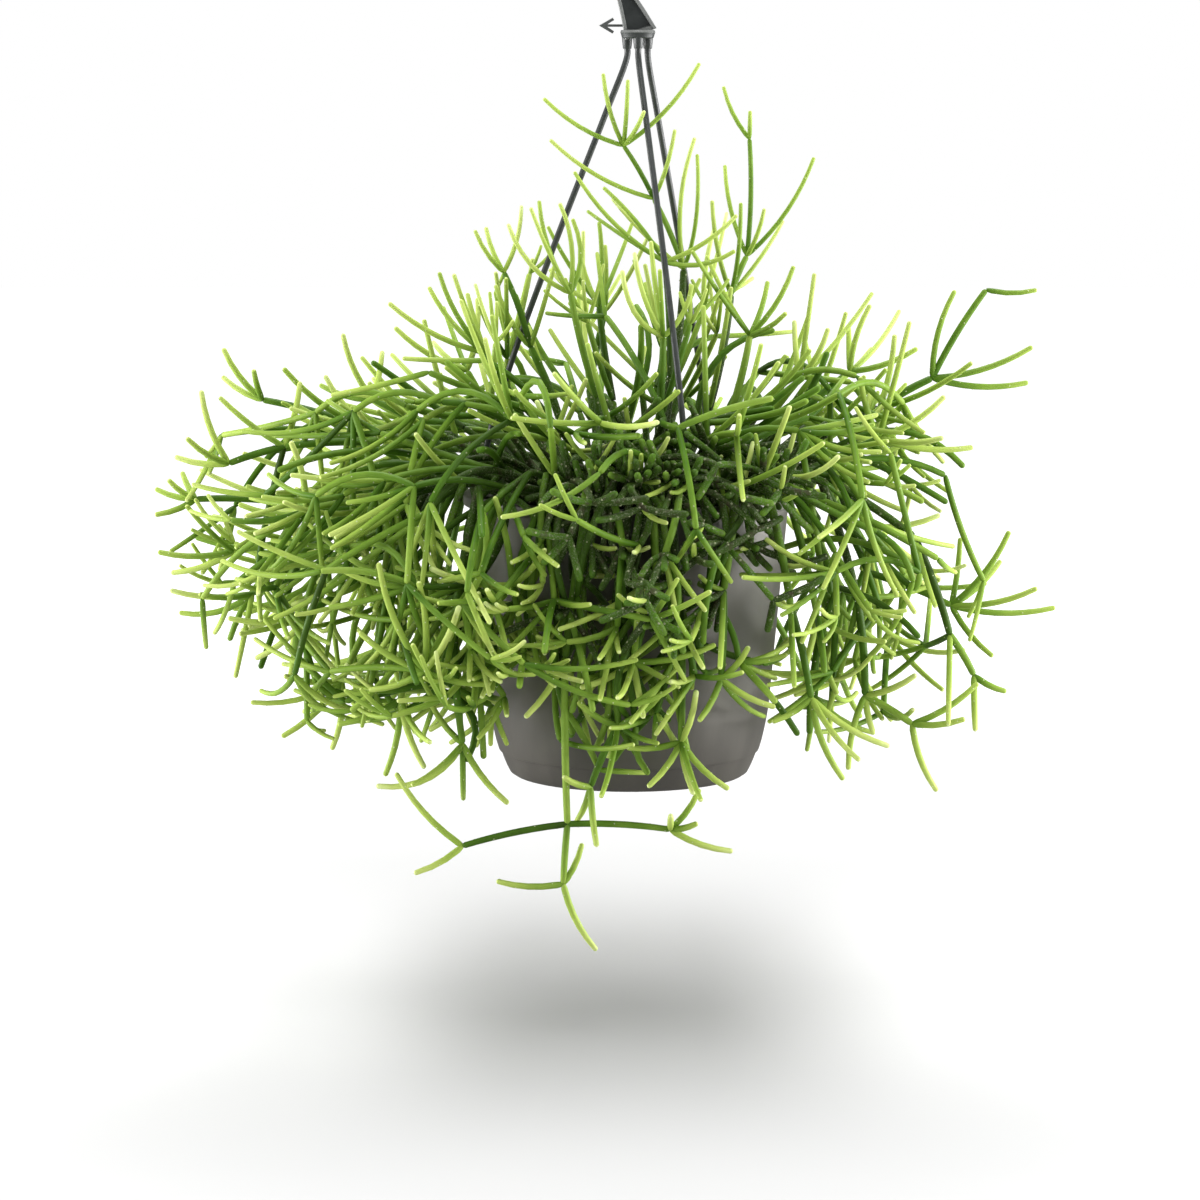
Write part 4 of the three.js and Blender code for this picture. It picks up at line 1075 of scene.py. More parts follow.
def tube(points, radii, sides):
    """A closed tube along points with a radius at each, carried without twist."""
    points = np.asarray(points, float)
    along = np.gradient(points, axis=0)
    along /= np.linalg.norm(along, axis=1)[:, None]
    across = np.array([1.0, 0, 0]) if abs(along[0, 2]) > 0.9 else np.array([0, 0, 1.0])
    turns = np.arange(sides) * 2 * math.pi / sides
    cos, sin = np.cos(turns)[:, None], np.sin(turns)[:, None]
    verts, frames = [], []
    for at, lead, radius in zip(points, along, radii):
        across = unit(across - lead * (across @ lead))
        second = np.cross(lead, across)
        frames.append((across, second, lead))
        verts.append(at + radius * (cos * across + sin * second))
    faces = ring_faces(len(points), sides)
    faces.append(tuple(range(sides - 1, -1, -1)))
    last = (len(points) - 1) * sides
    faces.append(tuple(range(last, last + sides)))
    return np.vstack(verts), faces, frames


# For each kind of stem: the girth of its neck as a share of its body's, and of its body as a
# share of the frame's
NECKS = {
    "rooted": 1.0, "main": 0.9, "branch": 0.75, "placed": 0.6, "free": 0.6, "twig": 0.6,
    "stub": 0.7,
}
GIRTHS = {
    "rooted": 0.82, "main": 0.84, "branch": 0.84, "placed": 0.92, "free": 0.84, "twig": 0.8,
    "stub": 0.95,
}
TIP_SHARE = 0.82  # of a shoot's girth at its root, where it ends
# The highest stems are slimmer: by how much, from which height and over which rise
SLIMMER, SLIM_FROM, SLIM_OVER = 0.3, 195, 80
TIP_AGE = -0.3  # pales the last millimetre
BULGE = 0.07  # swelling of a shoot about two thirds of the way along
TIP_TURNS = (0.0, 32.0, 58.0, 78.0)
TIP_BEFORE = 0.2  # the age of a stem's end, below which it has a young tip
NECK_LENGTH = 2.8
RING_GAP = 7
# The gap between an areole and the next, and its radius: on green stems, and on old ones
DOTS = (8.5, 0.4)
KNOBS = (3.2, 0.62)
OLD_AGE = 0.7
DOT_SIDES = 5
DOT_HEIGHT = 0.7  # as a share of its radius
DOT_SINK = 0.97  # of the stem's radius, where its edge is
DOT_JITTER = (0.8, 1.25)
GOLDEN_ANGLE = 137.5


def stem_rings(stem):
    """Distances along a stem and its radius there: a pinched neck, a long body, a blunt tip."""
    points = bezier(*stem.line, 12)
    steps = np.linalg.norm(np.diff(points, axis=0), axis=1)
    length = steps.sum()
    height = (stem.line[0][2] + stem.line[2][2]) / 2
    slim = 1 - SLIMMER * min(1, max(0, (height - SLIM_FROM) / SLIM_OVER))
    thick, thin = (radius * GIRTHS[stem.kind] * slim for radius in stem.radii)
    if stem.ages[1] < TIP_BEFORE:
        thin *= TIP_SHARE
    neck = NECKS[stem.kind]
    rows = [(0.0, thick * neck), (1.0, thick * (1 + neck) / 2), (NECK_LENGTH, thick)]
    body = length - thin
    count = max(3, int(length / RING_GAP))
    for i in range(1, count):
        share = i / count
        swell = 1 + BULGE * math.sin(math.pi * share)
        place = NECK_LENGTH + (body - NECK_LENGTH) * share
        rows.append((place, (thick + (thin - thick) * share) * swell))
    for turn in TIP_TURNS:
        rows.append((body + thin * math.sin(radians(turn)), thin * math.cos(radians(turn))))
    return np.array(rows), points, steps, length


def skin_stem(skin, stem, roll):
    rows, points, steps, length = stem_rings(stem)
    reached = np.concatenate([[0], np.cumsum(steps)])
    places = np.column_stack([np.interp(rows[:, 0], reached, points[:, i]) for i in range(3)])
    verts, faces, frames = tube(places, rows[:, 1], STEM_SIDES)
    share = rows[:, 0] / length
    age = stem.ages[0] + (stem.ages[1] - stem.ages[0]) * share
    if stem.ages[1] < TIP_BEFORE:
        age[-2:] = TIP_AGE
    tone = roll((0, 1))
    skin.add(verts, faces, age=np.repeat(age, STEM_SIDES), tone=tone, dot=0.0)
    gap, size = KNOBS if stem.ages[1] > OLD_AGE else DOTS
    add_dots(skin, rows, places, frames, age, tone, roll, gap, size)


def add_dots(skin, rows, places, frames, age, tone, roll, gap, size):
    """Small pale felted spots, areoles, spaced round the stem by the golden angle."""
    turn = roll((0, 360))
    ring = np.arange(DOT_SIDES) * 2 * math.pi / DOT_SIDES
    cos, sin = np.cos(ring)[:, None], np.sin(ring)[:, None]
    reach = rows[-1, 0]
    distance = gap * 0.6
    fan = [(i, (i + 1) % DOT_SIDES, DOT_SIDES) for i in range(DOT_SIDES)]
    while distance < reach - 1.5:
        k = int(np.searchsorted(rows[:, 0], distance))
        part = (distance - rows[k - 1, 0]) / (rows[k, 0] - rows[k - 1, 0])
        at = places[k - 1] + (places[k] - places[k - 1]) * part
        radius = rows[k - 1, 1] + (rows[k, 1] - rows[k - 1, 1]) * part
        first, second, lead = frames[k]
        out = first * math.cos(radians(turn)) + second * math.sin(radians(turn))
        side = np.cross(lead, out)
        middle = at + out * radius * DOT_SINK
        verts = middle + size * (cos * lead + sin * side)
        apex = at + out * (radius + DOT_HEIGHT * size)
        skin.add(np.vstack([verts, apex]), fan, age=age[k], tone=tone, dot=1.0)
        turn += GOLDEN_ANGLE
        distance += gap * roll(DOT_JITTER)


def skin_spray(spray):
    skin = Skin("age", "tone", "dot")
    for stem in [*spray.stems, spray.foot]:
        skin_stem(skin, stem, spray.roll)
    return skin


def lathe(profile, sides):
    """A closed turned solid. Its profile of radius and height starts and ends on the axis."""
    turns = np.arange(sides) * 2 * math.pi / sides
    rows = [
        np.column_stack([r * np.cos(turns), r * np.sin(turns), np.full(sides, z)])
        for r, z in profile[1:-1]
    ]
    verts = np.vstack([*rows, [[0, 0, profile[0][1]], [0, 0, profile[-1][1]]]])
    faces = ring_faces(len(rows), sides)
    first, last = len(verts) - 2, len(verts) - 1
    base = (len(rows) - 1) * sides
    for i in range(sides):
        j = (i + 1) % sides
        faces.append((first, j, i))
        faces.append((last, base + i, base + j))
    return verts, faces


def box_at(centre, size, turn):
    """A box's eight corners and six faces, turned about the pot's axis."""
    corners = np.array([[x, y, z] for x in (-1, 1) for y in (-1, 1) for z in (-1, 1)]) / 2
    places = corners * size + centre
    cos, sin = math.cos(radians(turn)), math.sin(radians(turn))
    turned = places @ np.array([[cos, sin, 0], [-sin, cos, 0], [0, 0, 1]])
    faces = [(0, 1, 3, 2), (4, 6, 7, 5), (0, 4, 5, 1), (2, 3, 7, 6), (0, 2, 6, 4), (1, 5, 7, 3)]
    return turned, faces


def cut(mesh, cutters):
    """The mesh with the cutters' solids taken out of it."""
    body = bpy.data.objects.new("cut_body", mesh)
    tool = bpy.data.objects.new("cut_tool", cutters)
    for obj in (body, tool):
        bpy.context.scene.collection.objects.link(obj)
    modifier = body.modifiers.new("cut", "BOOLEAN")
    modifier.operation = "DIFFERENCE"
    modifier.solver = "EXACT"
    modifier.use_self = True
    modifier.object = tool
    graph = bpy.context.evaluated_depsgraph_get()
    made = bpy.data.meshes.new_from_object(body.evaluated_get(graph))
    for obj in (body, tool):
        bpy.data.objects.remove(obj)
    return made


# Pot


def wall_profile(inset, steps):
    """The rounded foot of the pot's wall."""
    line = [(FOOT_RADIUS + 0.8, 1.2), (FOOT_TOP_RADIUS - 3, 13), (FOOT_TOP_RADIUS, FOOT_TOP)]
    start, control, end = (np.array([radius - inset, height]) for radius, height in line)
    return [tuple(place) for place in bezier(start, control, end, steps)]


def corner(middle, radius, start, end, steps=4):
    """Points round an arc, from one direction in degrees to another."""
    out = []
    for i in range(steps + 1):
        turn = radians(start + (end - start) * i / steps)
        out.append((middle[0] + radius * math.cos(turn), middle[1] + radius * math.sin(turn)))
    return out


def make_pot(material):
    lip_bottom = POT_HEIGHT - LIP_DEPTH
    wall = wall_profile(0, 18)
    at_band = float(np.interp(FOOT_BAND, [z for _, z in wall], [r for r, _ in wall]))
    foot = [(r - FOOT_STEP, z) for r, z in wall if z < FOOT_BAND - 0.3]
    foot += [(at_band - FOOT_STEP, FOOT_BAND - 0.3), (at_band, FOOT_BAND + 0.1)]
    foot += [(r, z) for r, z in wall if z > FOOT_BAND + 0.5]
    inner = [p for p in wall_profile(POT_WALL, 10) if p[1] > BASE_RISE + POT_WALL + 1]
    rim_inside = WALL_TOP_RADIUS - POT_WALL
    # The base, the foot and the wall, then the lip, and back down the inside
    profile = [
        (0, BASE_RISE),
        (FOOT_RADIUS - 5, BASE_RISE),
        (FOOT_RADIUS - 3.5, 0.3),
        *corner((FOOT_RADIUS - 2.2, 1.2), 1.2, 225, 330, 3),
        *foot,
        (WALL_TOP_RADIUS - 0.35, lip_bottom - 3.4),
        (WALL_TOP_RADIUS, lip_bottom - 0.6),
        *corner((WALL_TOP_RADIUS + 0.6, lip_bottom + 0.2), 0.6, 180, 110, 2),
        *corner((LIP_RADIUS - 0.7, lip_bottom + 1.5), 0.7, 270, 360, 3),
        (LIP_RADIUS, POT_HEIGHT - 1.6),
        *corner((LIP_RADIUS - 1.3, POT_HEIGHT - 1.3), 1.3, 0, 90, 4),
        *corner((rim_inside + 0.9, POT_HEIGHT - 0.9), 0.9, 90, 180, 3),
        (rim_inside, lip_bottom - 2),
        *reversed(inner),
        (FOOT_RADIUS - 1, BASE_RISE + POT_WALL),
        (0, BASE_RISE + POT_WALL),
    ]
    skin = Skin()
    skin.add(*lathe(profile, POT_SIDES))
    for turn in ARM_TURNS.values():
        length = WALL_TOP_RADIUS - LUG_RING + 4
        middle = ((WALL_TOP_RADIUS + LUG_RING - 5.5) / 2, 0, LUG_TOP - LUG_THICK / 2)
        skin.add(*box_at(middle, (length, LUG_WIDTH, LUG_THICK), turn))
    cutters = Skin()
    for turn in ARM_TURNS.values():
        place = ring_place(LUG_RING, turn, LUG_TOP - LUG_THICK - 2)
        add_drill(cutters, place, LUG_BORE, LUG_THICK + 4)
    for i in range(DRAIN_COUNT):
        place = ring_place(DRAIN_RING, (i + 0.5) * 360 / DRAIN_COUNT, -2)
        add_drill(cutters, place, DRAIN_RADIUS, 9)
    for i in range(NOTCH_COUNT):
        turn = (i + 0.5) * 360 / NOTCH_COUNT - 90
        cutters.add(*box_at(NOTCH_CENTRE, NOTCH_SIZE, turn))
    mesh = cut(skin.mesh("pot_body"), cutters.mesh("pot_cutters"))
    return piece("pot_shell", mesh, material, ["pot"])


def add_drill(cutters, at, radius, depth):
    verts, faces = lathe([(0, 0), (radius, 0), (radius, depth), (0, depth)], 24)
    cutters.add(verts + at, faces)


# Soil


def make_soil(material):
    floor = BASE_RISE + POT_WALL + FIT
    inset = POT_WALL + FIT
    edge = FOOT_TOP_RADIUS + (WALL_TOP_RADIUS - FOOT_TOP_RADIUS) * 0.88 - inset - 0.4
    rings = [edge * share for share in np.linspace(1, 0.04, 26)]
    profile = [
        (0, floor),
        (FOOT_RADIUS - 2.5, floor),
        *[p for p in wall_profile(inset + 0.2, 8) if p[1] > floor + 1],
        *[(r, soil_top(r)) for r in rings],
        (0, soil_top(0)),
    ]
    verts, faces = lathe(profile, 96)
    top = verts[:, 2] > SOIL_EDGE - 3
    waves = np.sin(verts[:, 0] * 0.55) * np.sin(verts[:, 1] * 0.63 + 1)
    waves += 0.5 * np.sin(verts[:, 0] * 1.7 + 2) * np.sin(verts[:, 1] * 1.9)
    verts[:, 2] += np.where(top, 0.55 * waves, 0)
    skin = Skin()
    skin.add(verts, faces)
    chips = np.random.default_rng(21)
    ball_verts, ball_faces = clod()
    for _ in range(CLOD_COUNT):
        out, turn = (edge - 3) * math.sqrt(chips.random()), chips.random() * 2 * math.pi
        size = CLOD_SIZE[0] + (CLOD_SIZE[1] - CLOD_SIZE[0]) * chips.random() ** 2
        lumps = 1 + 0.35 * (chips.random(len(ball_verts)) - 0.5)
        shape = ball_verts * lumps[:, None] * size * [1, 0.55 + 0.4 * chips.random(), 0.6]
        cos, sin = math.cos(turn * 5), math.sin(turn * 5)
        shape = shape @ np.array([[cos, sin, 0], [-sin, cos, 0], [0, 0, 1]])
        at = np.array([out * math.cos(turn), out * math.sin(turn), soil_top(out) + 0.2 * size])
        skin.add(shape + at, ball_faces)
    return piece("peat", skin.mesh("peat"), material, ["soil"], 60)


def clod():
    build = bmesh.new()
    bmesh.ops.create_icosphere(build, subdivisions=2, radius=1)
    verts = np.array([v.co[:] for v in build.verts])
    faces = [[v.index for v in face.verts] for face in build.faces]
    build.free()
    return verts, faces


# Hanger


def strap_line():
    radius = HOOK_INNER_RADIUS + STRAP_HALF
    points = [
        (HEAD_X + 1.5, 0, HEAD_BOTTOM),
        (HEAD_X - 2, 0, HEAD_BOTTOM + 9),
        (HEAD_X - 6, 0, HEAD_BOTTOM + 18),
        (HEAD_X - 14.5, 0, HEAD_BOTTOM + 36),
    ]
    for degrees in (185, 155, 120, 90, 55, 20, -15, -40):
        turn = radians(degrees)
        points.append(
            (HOOK_CENTRE[0] + radius * math.cos(turn), 0, HOOK_CENTRE[1] + radius * math.sin(turn))
        )
    return catmull(points, STRAP_STEPS)


def strap_section(half, web):
    """The strap's section, across and in depth: two rims joined by a web, with eased corners."""
    deep, ease = STRAP_DEPTH / 2, 0.3
    inner = half - RIB
    quarter = [
        (half, deep - ease), (half - ease, deep), (inner + ease, deep), (inner, deep - ease),
        (inner, web),
    ]
    upper = quarter + [(-u, v) for u, v in reversed(quarter)]
    return np.array(upper + [(-u, -v) for u, v in upper])


def make_hanger(material):
    skin = Skin("lit")
    line = strap_line()
    lead = np.gradient(line, axis=0)
    lead /= np.linalg.norm(lead, axis=1)[:, None]
    reached = np.concatenate([[0], np.cumsum(np.linalg.norm(np.diff(line, axis=0), axis=1))])
    rows, lit = [], []
    for at, along, share in zip(line, lead, reached / reached[-1]):
        half = STRAP_HALF + 4 * max(0, 1 - share / 0.16)
        solid = share < 0.02 or share > 0.985
        section = strap_section(half, STRAP_DEPTH / 2 - 0.6 if solid else WEB_DEPTH / 2)
        across = np.array([along[2], 0, -along[0]])
        depth = np.array([0, 1.0, 0])
        rows.append(at + section[:, :1] * across + section[:, 1:] * depth)
        # Painted highlight: the faces of the strap's rims that look to the front and the back get
        # a lighter grey, standing in for light on them
        lit.append((np.abs(section[:, 1]) > STRAP_DEPTH / 2 - 0.7).astype(float))
    sides = len(rows[0])
    faces = ring_faces(len(rows), sides)
    faces.append(tuple(range(sides - 1, -1, -1)))
    faces.append(tuple(range((len(rows) - 1) * sides, len(rows) * sides)))
    skin.add(np.vstack(rows), faces, lit=np.concatenate(lit))

    edge = HUB_DEPTH / 2
    hub = [
        (0, -edge), (HUB_RADIUS - 1.4, -edge), (HUB_RADIUS - 0.8, 0.4 - edge),
        (HUB_RADIUS - 0.2, edge - 1.5), (HUB_RADIUS, edge - 1.1), (HUB_RADIUS - 0.4, edge),
        (0, edge),
    ]
    verts, faces = lathe(hub, 48)
    # Painted highlight on the hub's upper edge
    upper = verts[:, 2] > edge - 1.3
    skin.add(verts + [HEAD_X, 0, HEAD_BOTTOM], faces, lit=0.9 * upper)
    for side in SOCKET_TURNS:
        top = arm_top(side)
        low = HEAD_BOTTOM - SOCKET_LENGTH
        socket = [
            (0, low + 4), (SOCKET_RADIUS - 0.85, low + 4), (SOCKET_RADIUS - 0.85, low),
            (SOCKET_RADIUS - 0.65, low), (SOCKET_RADIUS - 0.5, low + 0.3),
            (SOCKET_RADIUS - 0.05, HEAD_BOTTOM - 2.5), (SOCKET_RADIUS, HEAD_BOTTOM),
            (0, HEAD_BOTTOM),
        ]
        verts, faces = lathe(socket, 24)
        skin.add(verts + [top[0], top[1], 0], faces, lit=0.0)
    # A faint painted highlight all over the label peg
    skin.add(*barb_plate(), lit=0.25)
    mesh = skin.mesh("hanger_head")
    return piece("hanger_head", mesh, material, ["hanger_hook"], 30)


# The arrow-shaped peg beside the plate that a plant label hangs on, across and up
LABEL_PEG = [
    (2, 370.8), (-11.2, 370.8), (-7.6, 373), (-8.3, 374), (-15, 370.2), (-8.4, 366.3),
    (-7.7, 367.3), (-11.2, 369.6), (2, 369.6),
]


def barb_plate():
    outline = np.array(LABEL_PEG, float)
    middle = outline.mean(axis=0)
    rows = []
    for depth, shrink in ((-1, 0.94), (-0.7, 1), (0.7, 1), (1, 0.94)):
        flat = middle + (outline - middle) * shrink
        rows.append(np.column_stack([flat[:, 0], np.full(len(flat), depth), flat[:, 1]]))
    sides = len(outline)
    faces = ring_faces(4, sides)
    faces.append(tuple(range(sides - 1, -1, -1)))
    faces.append(tuple(range(3 * sides, 4 * sides)))
    return np.vstack(rows), faces


def make_arm(side, material):
    points = catmull(arm_points(side), 90)
    share = np.linspace(0, 1, len(points))
    radii = ARM_RADIUS * (1 + 0.08 * np.clip(1 - share / 0.25, 0, 1))
    verts, faces, _ = tube(points, radii, 16)
    skin = Skin("lit")
    skin.add(verts, faces, lit=0.0)
    foot = points[-1]
    low, top = BARB_TOP - BARB_LENGTH, BARB_TOP
    barb = [
        (0, low), (ARM_RADIUS - 0.5, low), (ARM_RADIUS - 0.2, low + 0.4),
        (BARB_RADIUS, top - 1.2), (BARB_RADIUS - 0.3, top - 0.3), (ARM_RADIUS, top), (0, top),
    ]
    verts, faces = lathe(barb, 24)
    skin.add(verts + [foot[0], foot[1], 0], faces, lit=0.0)
    name = "hanger_arm_" + side
    return piece(name + "_rod", skin.mesh(name + "_rod"), material, [name])


# Materials


def material_nodes(name):
    material = bpy.data.materials.new(name)
    material.use_nodes = True
    tree = material.node_tree
    return material, tree, tree.nodes["Principled BSDF"]


def ramp(tree, factor, stops):
    node = tree.nodes.new("ShaderNodeValToRGB")
    elements = node.color_ramp.elements
    elements[0].position, elements[0].color = stops[0][0], (*stops[0][1], 1)
    elements[1].position, elements[1].color = stops[-1][0], (*stops[-1][1], 1)
    for position, color in stops[1:-1]:
        elements.new(position).color = (*color, 1)
    tree.links.new(factor, node.inputs["Fac"])
    return node.outputs["Color"]


def noise(tree, scale, detail=3.0, stretch=(1, 1, 1)):
    place = tree.nodes.new("ShaderNodeTexCoord")
    mapping = tree.nodes.new("ShaderNodeMapping")
    mapping.inputs["Scale"].default_value = stretch
    node = tree.nodes.new("ShaderNodeTexNoise")
    node.inputs["Scale"].default_value = scale
    node.inputs["Detail"].default_value = detail
    tree.links.new(place.outputs["Object"], mapping.inputs["Vector"])
    tree.links.new(mapping.outputs["Vector"], node.inputs["Vector"])
    return node.outputs["Fac"]


def sums(tree, operation, first, second):
    node = tree.nodes.new("ShaderNodeMath")
    node.operation = operation
    for socket, value in zip(node.inputs, (first, second)):
        if isinstance(value, (int, float)):
            socket.default_value = value
        else:
            tree.links.new(value, socket)
    return node.outputs[0]


def attribute(tree, name):
    node = tree.nodes.new("ShaderNodeAttribute")
    node.attribute_name = name
    return node.outputs["Fac"]


def mix(tree, factor, first, second):
    node = tree.nodes.new("ShaderNodeMix")
    node.data_type = "RGBA"
    color_a, color_b = [s for s in node.inputs if s.type == "RGBA"]
    result = [s for s in node.outputs if s.type == "RGBA"][0]
    for socket, value in ((node.inputs[0], factor), (color_a, first), (color_b, second)):
        if isinstance(value, tuple):
            socket.default_value = (*value, 1)
        elif isinstance(value, (int, float)):
            socket.default_value = value
        else:
            tree.links.new(value, socket)
    return result


def bump(tree, shader, height, strength, distance):
    node = tree.nodes.new("ShaderNodeBump")
    node.inputs["Strength"].default_value = strength
    node.inputs["Distance"].default_value = distance
    tree.links.new(height, node.inputs["Height"])
    tree.links.new(node.outputs["Normal"], shader.inputs["Normal"])


def stem_material():
    material, tree, shader = material_nodes("stem_green")
    age = attribute(tree, "age")
    tone = sums(tree, "MULTIPLY", sums(tree, "SUBTRACT", attribute(tree, "tone"), 0.5), 0.36)
    patches = sums(tree, "MULTIPLY", sums(tree, "SUBTRACT", noise(tree, 90), 0.5), 0.24)
    older = sums(tree, "ADD", sums(tree, "ADD", sums(tree, "MULTIPLY", age, 0.8), 0.16), tone)
    aged = sums(tree, "ADD", older, patches)
    flesh = ramp(tree, aged, [
        (0.0, (0.64, 0.74, 0.29)),
        (0.06, (0.52, 0.62, 0.17)),
        (0.24, (0.375, 0.5, 0.09)),
        (0.48, (0.19, 0.315, 0.036)),
        (0.7, (0.064, 0.152, 0.009)),
        (0.93, (0.028, 0.058, 0.005)),
    ])
    old = rising(tree, age, 0.68, 0.84, 1)
    felt = sums(tree, "MULTIPLY", old, rising(tree, noise(tree, 1300), 0.5, 0.68, 0.75))
    corky = mix(tree, felt, flesh, (0.19, 0.22, 0.13))
    bark = sums(tree, "MULTIPLY", old, rising(tree, noise(tree, 260), 0.5, 0.7, 0.8))
    barked = mix(tree, bark, corky, (0.052, 0.042, 0.024))
    spots = ramp(tree, age, [(0.0, (0.6, 0.7, 0.34)), (0.9, (0.27, 0.29, 0.18))])
    tree.links.new(mix(tree, attribute(tree, "dot"), barked, spots), shader.inputs["Base Color"])
    shader.inputs["Roughness"].default_value = 0.5
    shader.inputs["Specular IOR Level"].default_value = 0.15
    rough = sums(tree, "MULTIPLY", noise(tree, 1100, 3), sums(tree, "ADD", old, 0.15))
    bump(tree, shader, rough, 0.5, 0.0005)
    return material


def pot_material():
    material, tree, shader = material_nodes("pot_plastic")
    streaks = noise(tree, 26, 4, (3, 3, 0.12))
    clouds = noise(tree, 30, 2)
    streaks = sums(tree, "MULTIPLY", streaks, 0.75)
    shade = sums(tree, "ADD", streaks, sums(tree, "MULTIPLY", clouds, 0.25))
    color = ramp(tree, shade, [
        (0.36, (0.028, 0.025, 0.02)),
        (0.5, (0.038, 0.034, 0.027)),
        (0.64, (0.052, 0.047, 0.038)),
    ])
    tree.links.new(color, shader.inputs["Base Color"])
    shader.inputs["Roughness"].default_value = 0.42
    shader.inputs["Specular IOR Level"].default_value = 1.0
    shader.inputs["IOR"].default_value = 1.75
    shader.inputs["Specular Tint"].default_value = (1, 0.97, 0.9, 1)
    bump(tree, shader, noise(tree, 2200, 2), 0.1, 0.0003)
    return material


def soil_material():
    material, tree, shader = material_nodes("peat")
    grains = noise(tree, 420, 5)
    color = ramp(tree, grains, [
        (0.3, (0.008, 0.005, 0.004)),
        (0.55, (0.03, 0.019, 0.012)),
        (0.7, (0.075, 0.048, 0.03)),
    ])
    tree.links.new(color, shader.inputs["Base Color"])
    shader.inputs["Roughness"].default_value = 0.95
    bump(tree, shader, noise(tree, 900, 4), 0.7, 0.001)
    return material


def hanger_material():
    material, tree, shader = material_nodes("hanger_plastic")
    grey = ramp(tree, noise(tree, 120, 3), [
        (0.35, (0.026, 0.03, 0.029)),
        (0.65, (0.038, 0.043, 0.042)),
    ])
    # Painted highlight: where the attribute is set, a light grey stands in for light on the rims
    # and the hub's top
    color = mix(tree, attribute(tree, "lit"), grey, (0.16, 0.166, 0.16))
    tree.links.new(color, shader.inputs["Base Color"])
    shader.inputs["Roughness"].default_value = 0.4
    bump(tree, shader, noise(tree, 1800, 2), 0.1, 0.0003)
    return material


# Camera, light and floor

FLOOR_DROP = 113.5  # below the pot's bottom
STUDIO_WIDTH = 14000
# Soft lights: place, aim, width and depth in millimetres, and watts
LIGHTS = {
    "overhead": ((0, 100, 1300), (0, 0, 0), (700, 2600), 35),
    "from_left": ((-1250, -20, 150), (0, 0, 110), (1500, 500), 24),
    "from_right": ((1250, -20, 150), (0, 0, 110), (1500, 500), 30),
}
FILL = 0.1  # of the white surroundings, as light on the plant
MIRRORED = 0.25  # of the white surroundings, as seen in glossy surfaces
FLOOR_WHITE = 0.49
# Where the floor begins to shine of itself and where it does so fully, in metres, and how much:
# beside the shadow's middle, which fades with the distance before and behind it, then in front of
# it, behind it and far from it. Near the shadow this glow is painted light that shapes its edge
SHADOW_X = -0.01
SHINE_BESIDE = (0.04, 0.15, 0.36)
SHINE_FADE = (0.04, 0.32)
SHINE_BEFORE = (0.15, 0.34, 0.11)
SHINE_BEHIND = (0.1, 0.3, 0.085)
SHINE_FAR = (0.5, 1.6, 1.0)


def make_camera():
    data = bpy.data.cameras.new("camera")
    camera = bpy.data.objects.new("camera", data)
    bpy.context.scene.collection.objects.link(camera)
    pitch = radians(VIEW_PITCH)
    back = Vector((0, -math.cos(pitch), math.sin(pitch)))
    target = Vector(VIEW_TARGET) * MM
    camera.location = target + back * VIEW_DISTANCE * MM
    camera.rotation_euler = (-back).to_track_quat("-Z", "Y").to_euler()
    data.sensor_width = SENSOR
    data.lens = SENSOR * VIEW_DISTANCE / VIEW_WIDTH
    data.clip_end = 100
    bpy.context.scene.camera = camera


def rising(tree, value, start, end, height):
    node = tree.nodes.new("ShaderNodeMapRange")
    node.interpolation_type = "SMOOTHSTEP"
    tree.links.new(value, node.inputs["Value"])
    node.inputs["From Min"].default_value = start
    node.inputs["From Max"].default_value = end
    node.inputs["To Max"].default_value = height
    return node.outputs["Result"]


def floor_material():
    """White, shining of itself away from the shadow: a painted glow that trims the shadow near it,
    and lets the floor run into the backdrop far off.
    """
    material, tree, shader = material_nodes("floor_white")
    shader.inputs["Base Color"].default_value = (FLOOR_WHITE, FLOOR_WHITE, FLOOR_WHITE, 1)
    shader.inputs["Roughness"].default_value = 0.95
    shader.inputs["Emission Color"].default_value = (1, 1, 1, 1)
    place = tree.nodes.new("ShaderNodeTexCoord").outputs["Object"]
    parts = tree.nodes.new("ShaderNodeSeparateXYZ")
    tree.links.new(place, parts.inputs[0])
    away = tree.nodes.new("ShaderNodeVectorMath")
    away.operation = "LENGTH"
    tree.links.new(place, away.inputs[0])
    beside = sums(tree, "ABSOLUTE", sums(tree, "SUBTRACT", parts.outputs["X"], SHADOW_X), 0)
    fade = rising(tree, sums(tree, "ABSOLUTE", parts.outputs["Y"], 0), *SHINE_FADE, 1)
    beside = rising(tree, beside, *SHINE_BESIDE)
    near = sums(tree, "MULTIPLY", beside, sums(tree, "SUBTRACT", 1, fade))
    before = rising(tree, sums(tree, "MULTIPLY", parts.outputs["Y"], -1), *SHINE_BEFORE)
    far = rising(tree, away.outputs["Value"], *SHINE_FAR)
    behind = rising(tree, parts.outputs["Y"], *SHINE_BEHIND)
    # The painted glow that shapes the floor's shadow near it, and whitens the far floor
    shine = sums(tree, "ADD", sums(tree, "ADD", near, before), sums(tree, "ADD", behind, far))
    tree.links.new(shine, shader.inputs["Emission Strength"])
    return material


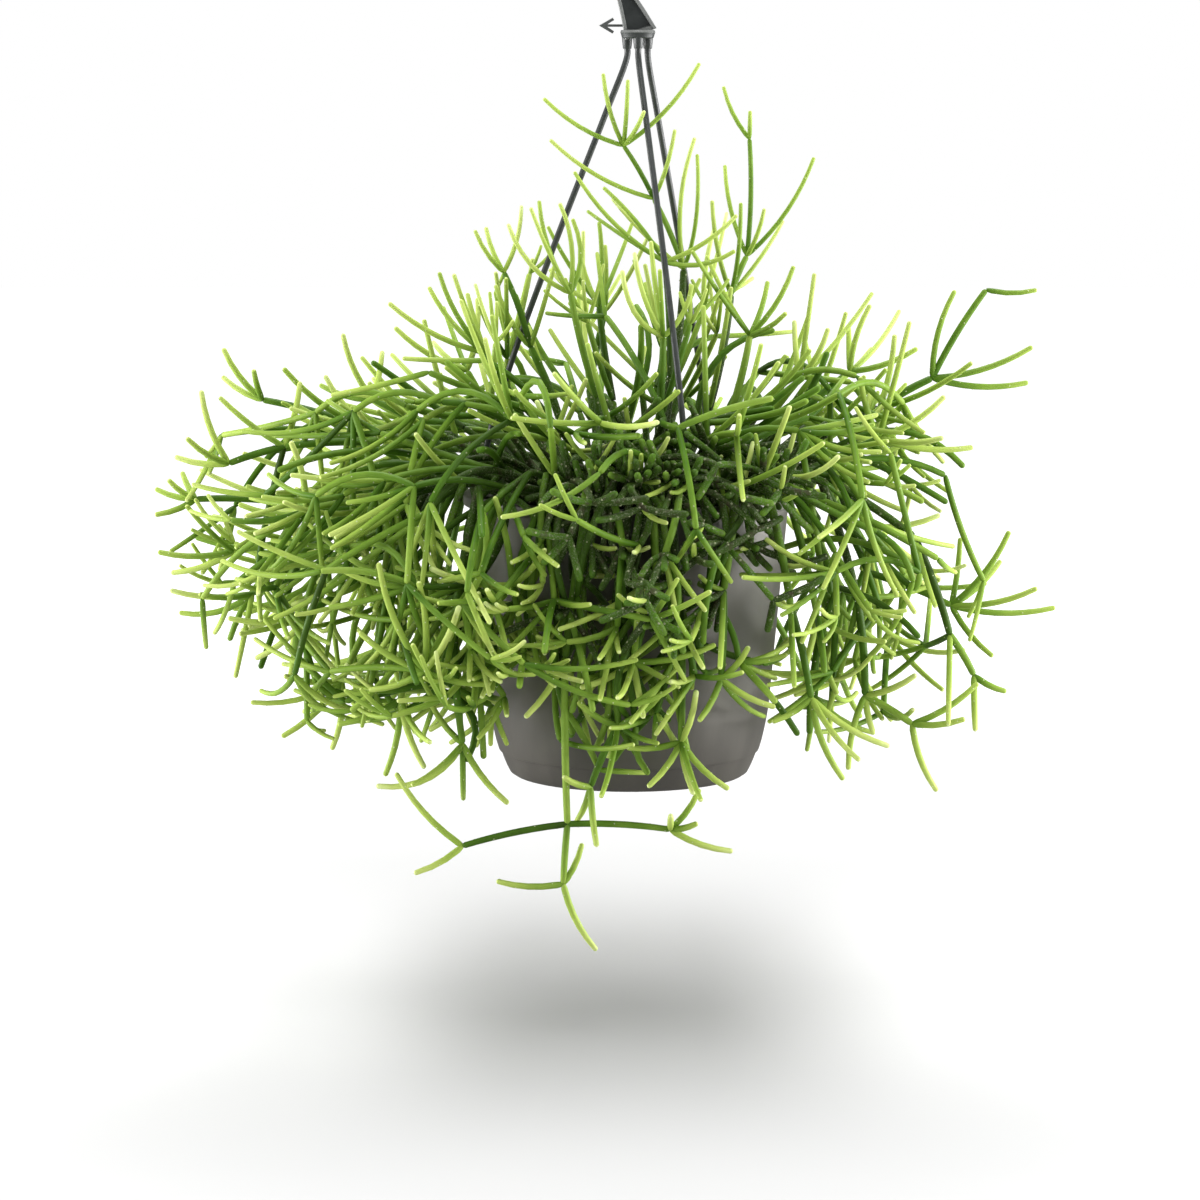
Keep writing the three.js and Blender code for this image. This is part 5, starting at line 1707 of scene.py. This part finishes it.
def make_studio():
    floor = Skin()
    half = STUDIO_WIDTH / 2
    floor.add(
        [(-half, -half, -FLOOR_DROP), (half, -half, -FLOOR_DROP), (half, half, -FLOOR_DROP),
         (-half, half, -FLOOR_DROP)],
        [(0, 1, 2, 3)],
    )
    obj = bpy.data.objects.new("floor", floor.mesh("floor"))
    bpy.context.scene.collection.objects.link(obj)
    obj.data.materials.append(floor_material())
    obj.visible_glossy = False
    obj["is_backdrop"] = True

    world = bpy.data.worlds.new("studio")
    world.use_nodes = True
    tree = world.node_tree
    background = tree.nodes["Background"]
    background.inputs["Color"].default_value = (1, 1, 1, 1)
    path = tree.nodes.new("ShaderNodeLightPath")
    seen = sums(tree, "MULTIPLY", path.outputs["Is Camera Ray"], 1 - FILL)
    mirrored = sums(tree, "MULTIPLY", path.outputs["Is Glossy Ray"], MIRRORED - FILL)
    strength = sums(tree, "ADD", sums(tree, "ADD", seen, mirrored), FILL)
    tree.links.new(strength, background.inputs["Strength"])
    bpy.context.scene.world = world

    for name, (place, aim, (width, depth), watts) in LIGHTS.items():
        light = bpy.data.lights.new(name, "AREA")
        light.shape = "RECTANGLE"
        light.size, light.size_y = width * MM, depth * MM
        light.energy = watts
        lamp = bpy.data.objects.new(name, light)
        bpy.context.scene.collection.objects.link(lamp)
        lamp.location = Vector((np.array(place) - ORIGIN) * MM)
        towards = Vector((np.array(aim) - place) * MM)
        lamp.rotation_euler = towards.to_track_quat("-Z", "Y").to_euler()
    bpy.context.scene.view_settings.view_transform = "Standard"


# The model


def main():
    make_camera()
    make_studio()
    make_pot(pot_material())
    make_soil(soil_material())
    plastic = hanger_material()
    make_hanger(plastic)
    for side in ARM_TURNS:
        make_arm(side, plastic)
    green = stem_material()
    sprays, fillers = grow_plant()
    for spray in sprays:
        mesh = skin_spray(spray).mesh(spray.name)
        piece(spray.name + "_stems", mesh, green, [spray.name], 60)
    for number, spray in enumerate(fillers, 1):
        name = f"filling_{spray.name}_{number:03d}"
        piece(name, skin_spray(spray).mesh(name), green, (), 60)


main()


def corners(box):
    return [[float(value) for value in corner_point] for corner_point in box]


{"cad": corners(CAD_BOX), "visual": corners(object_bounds())}
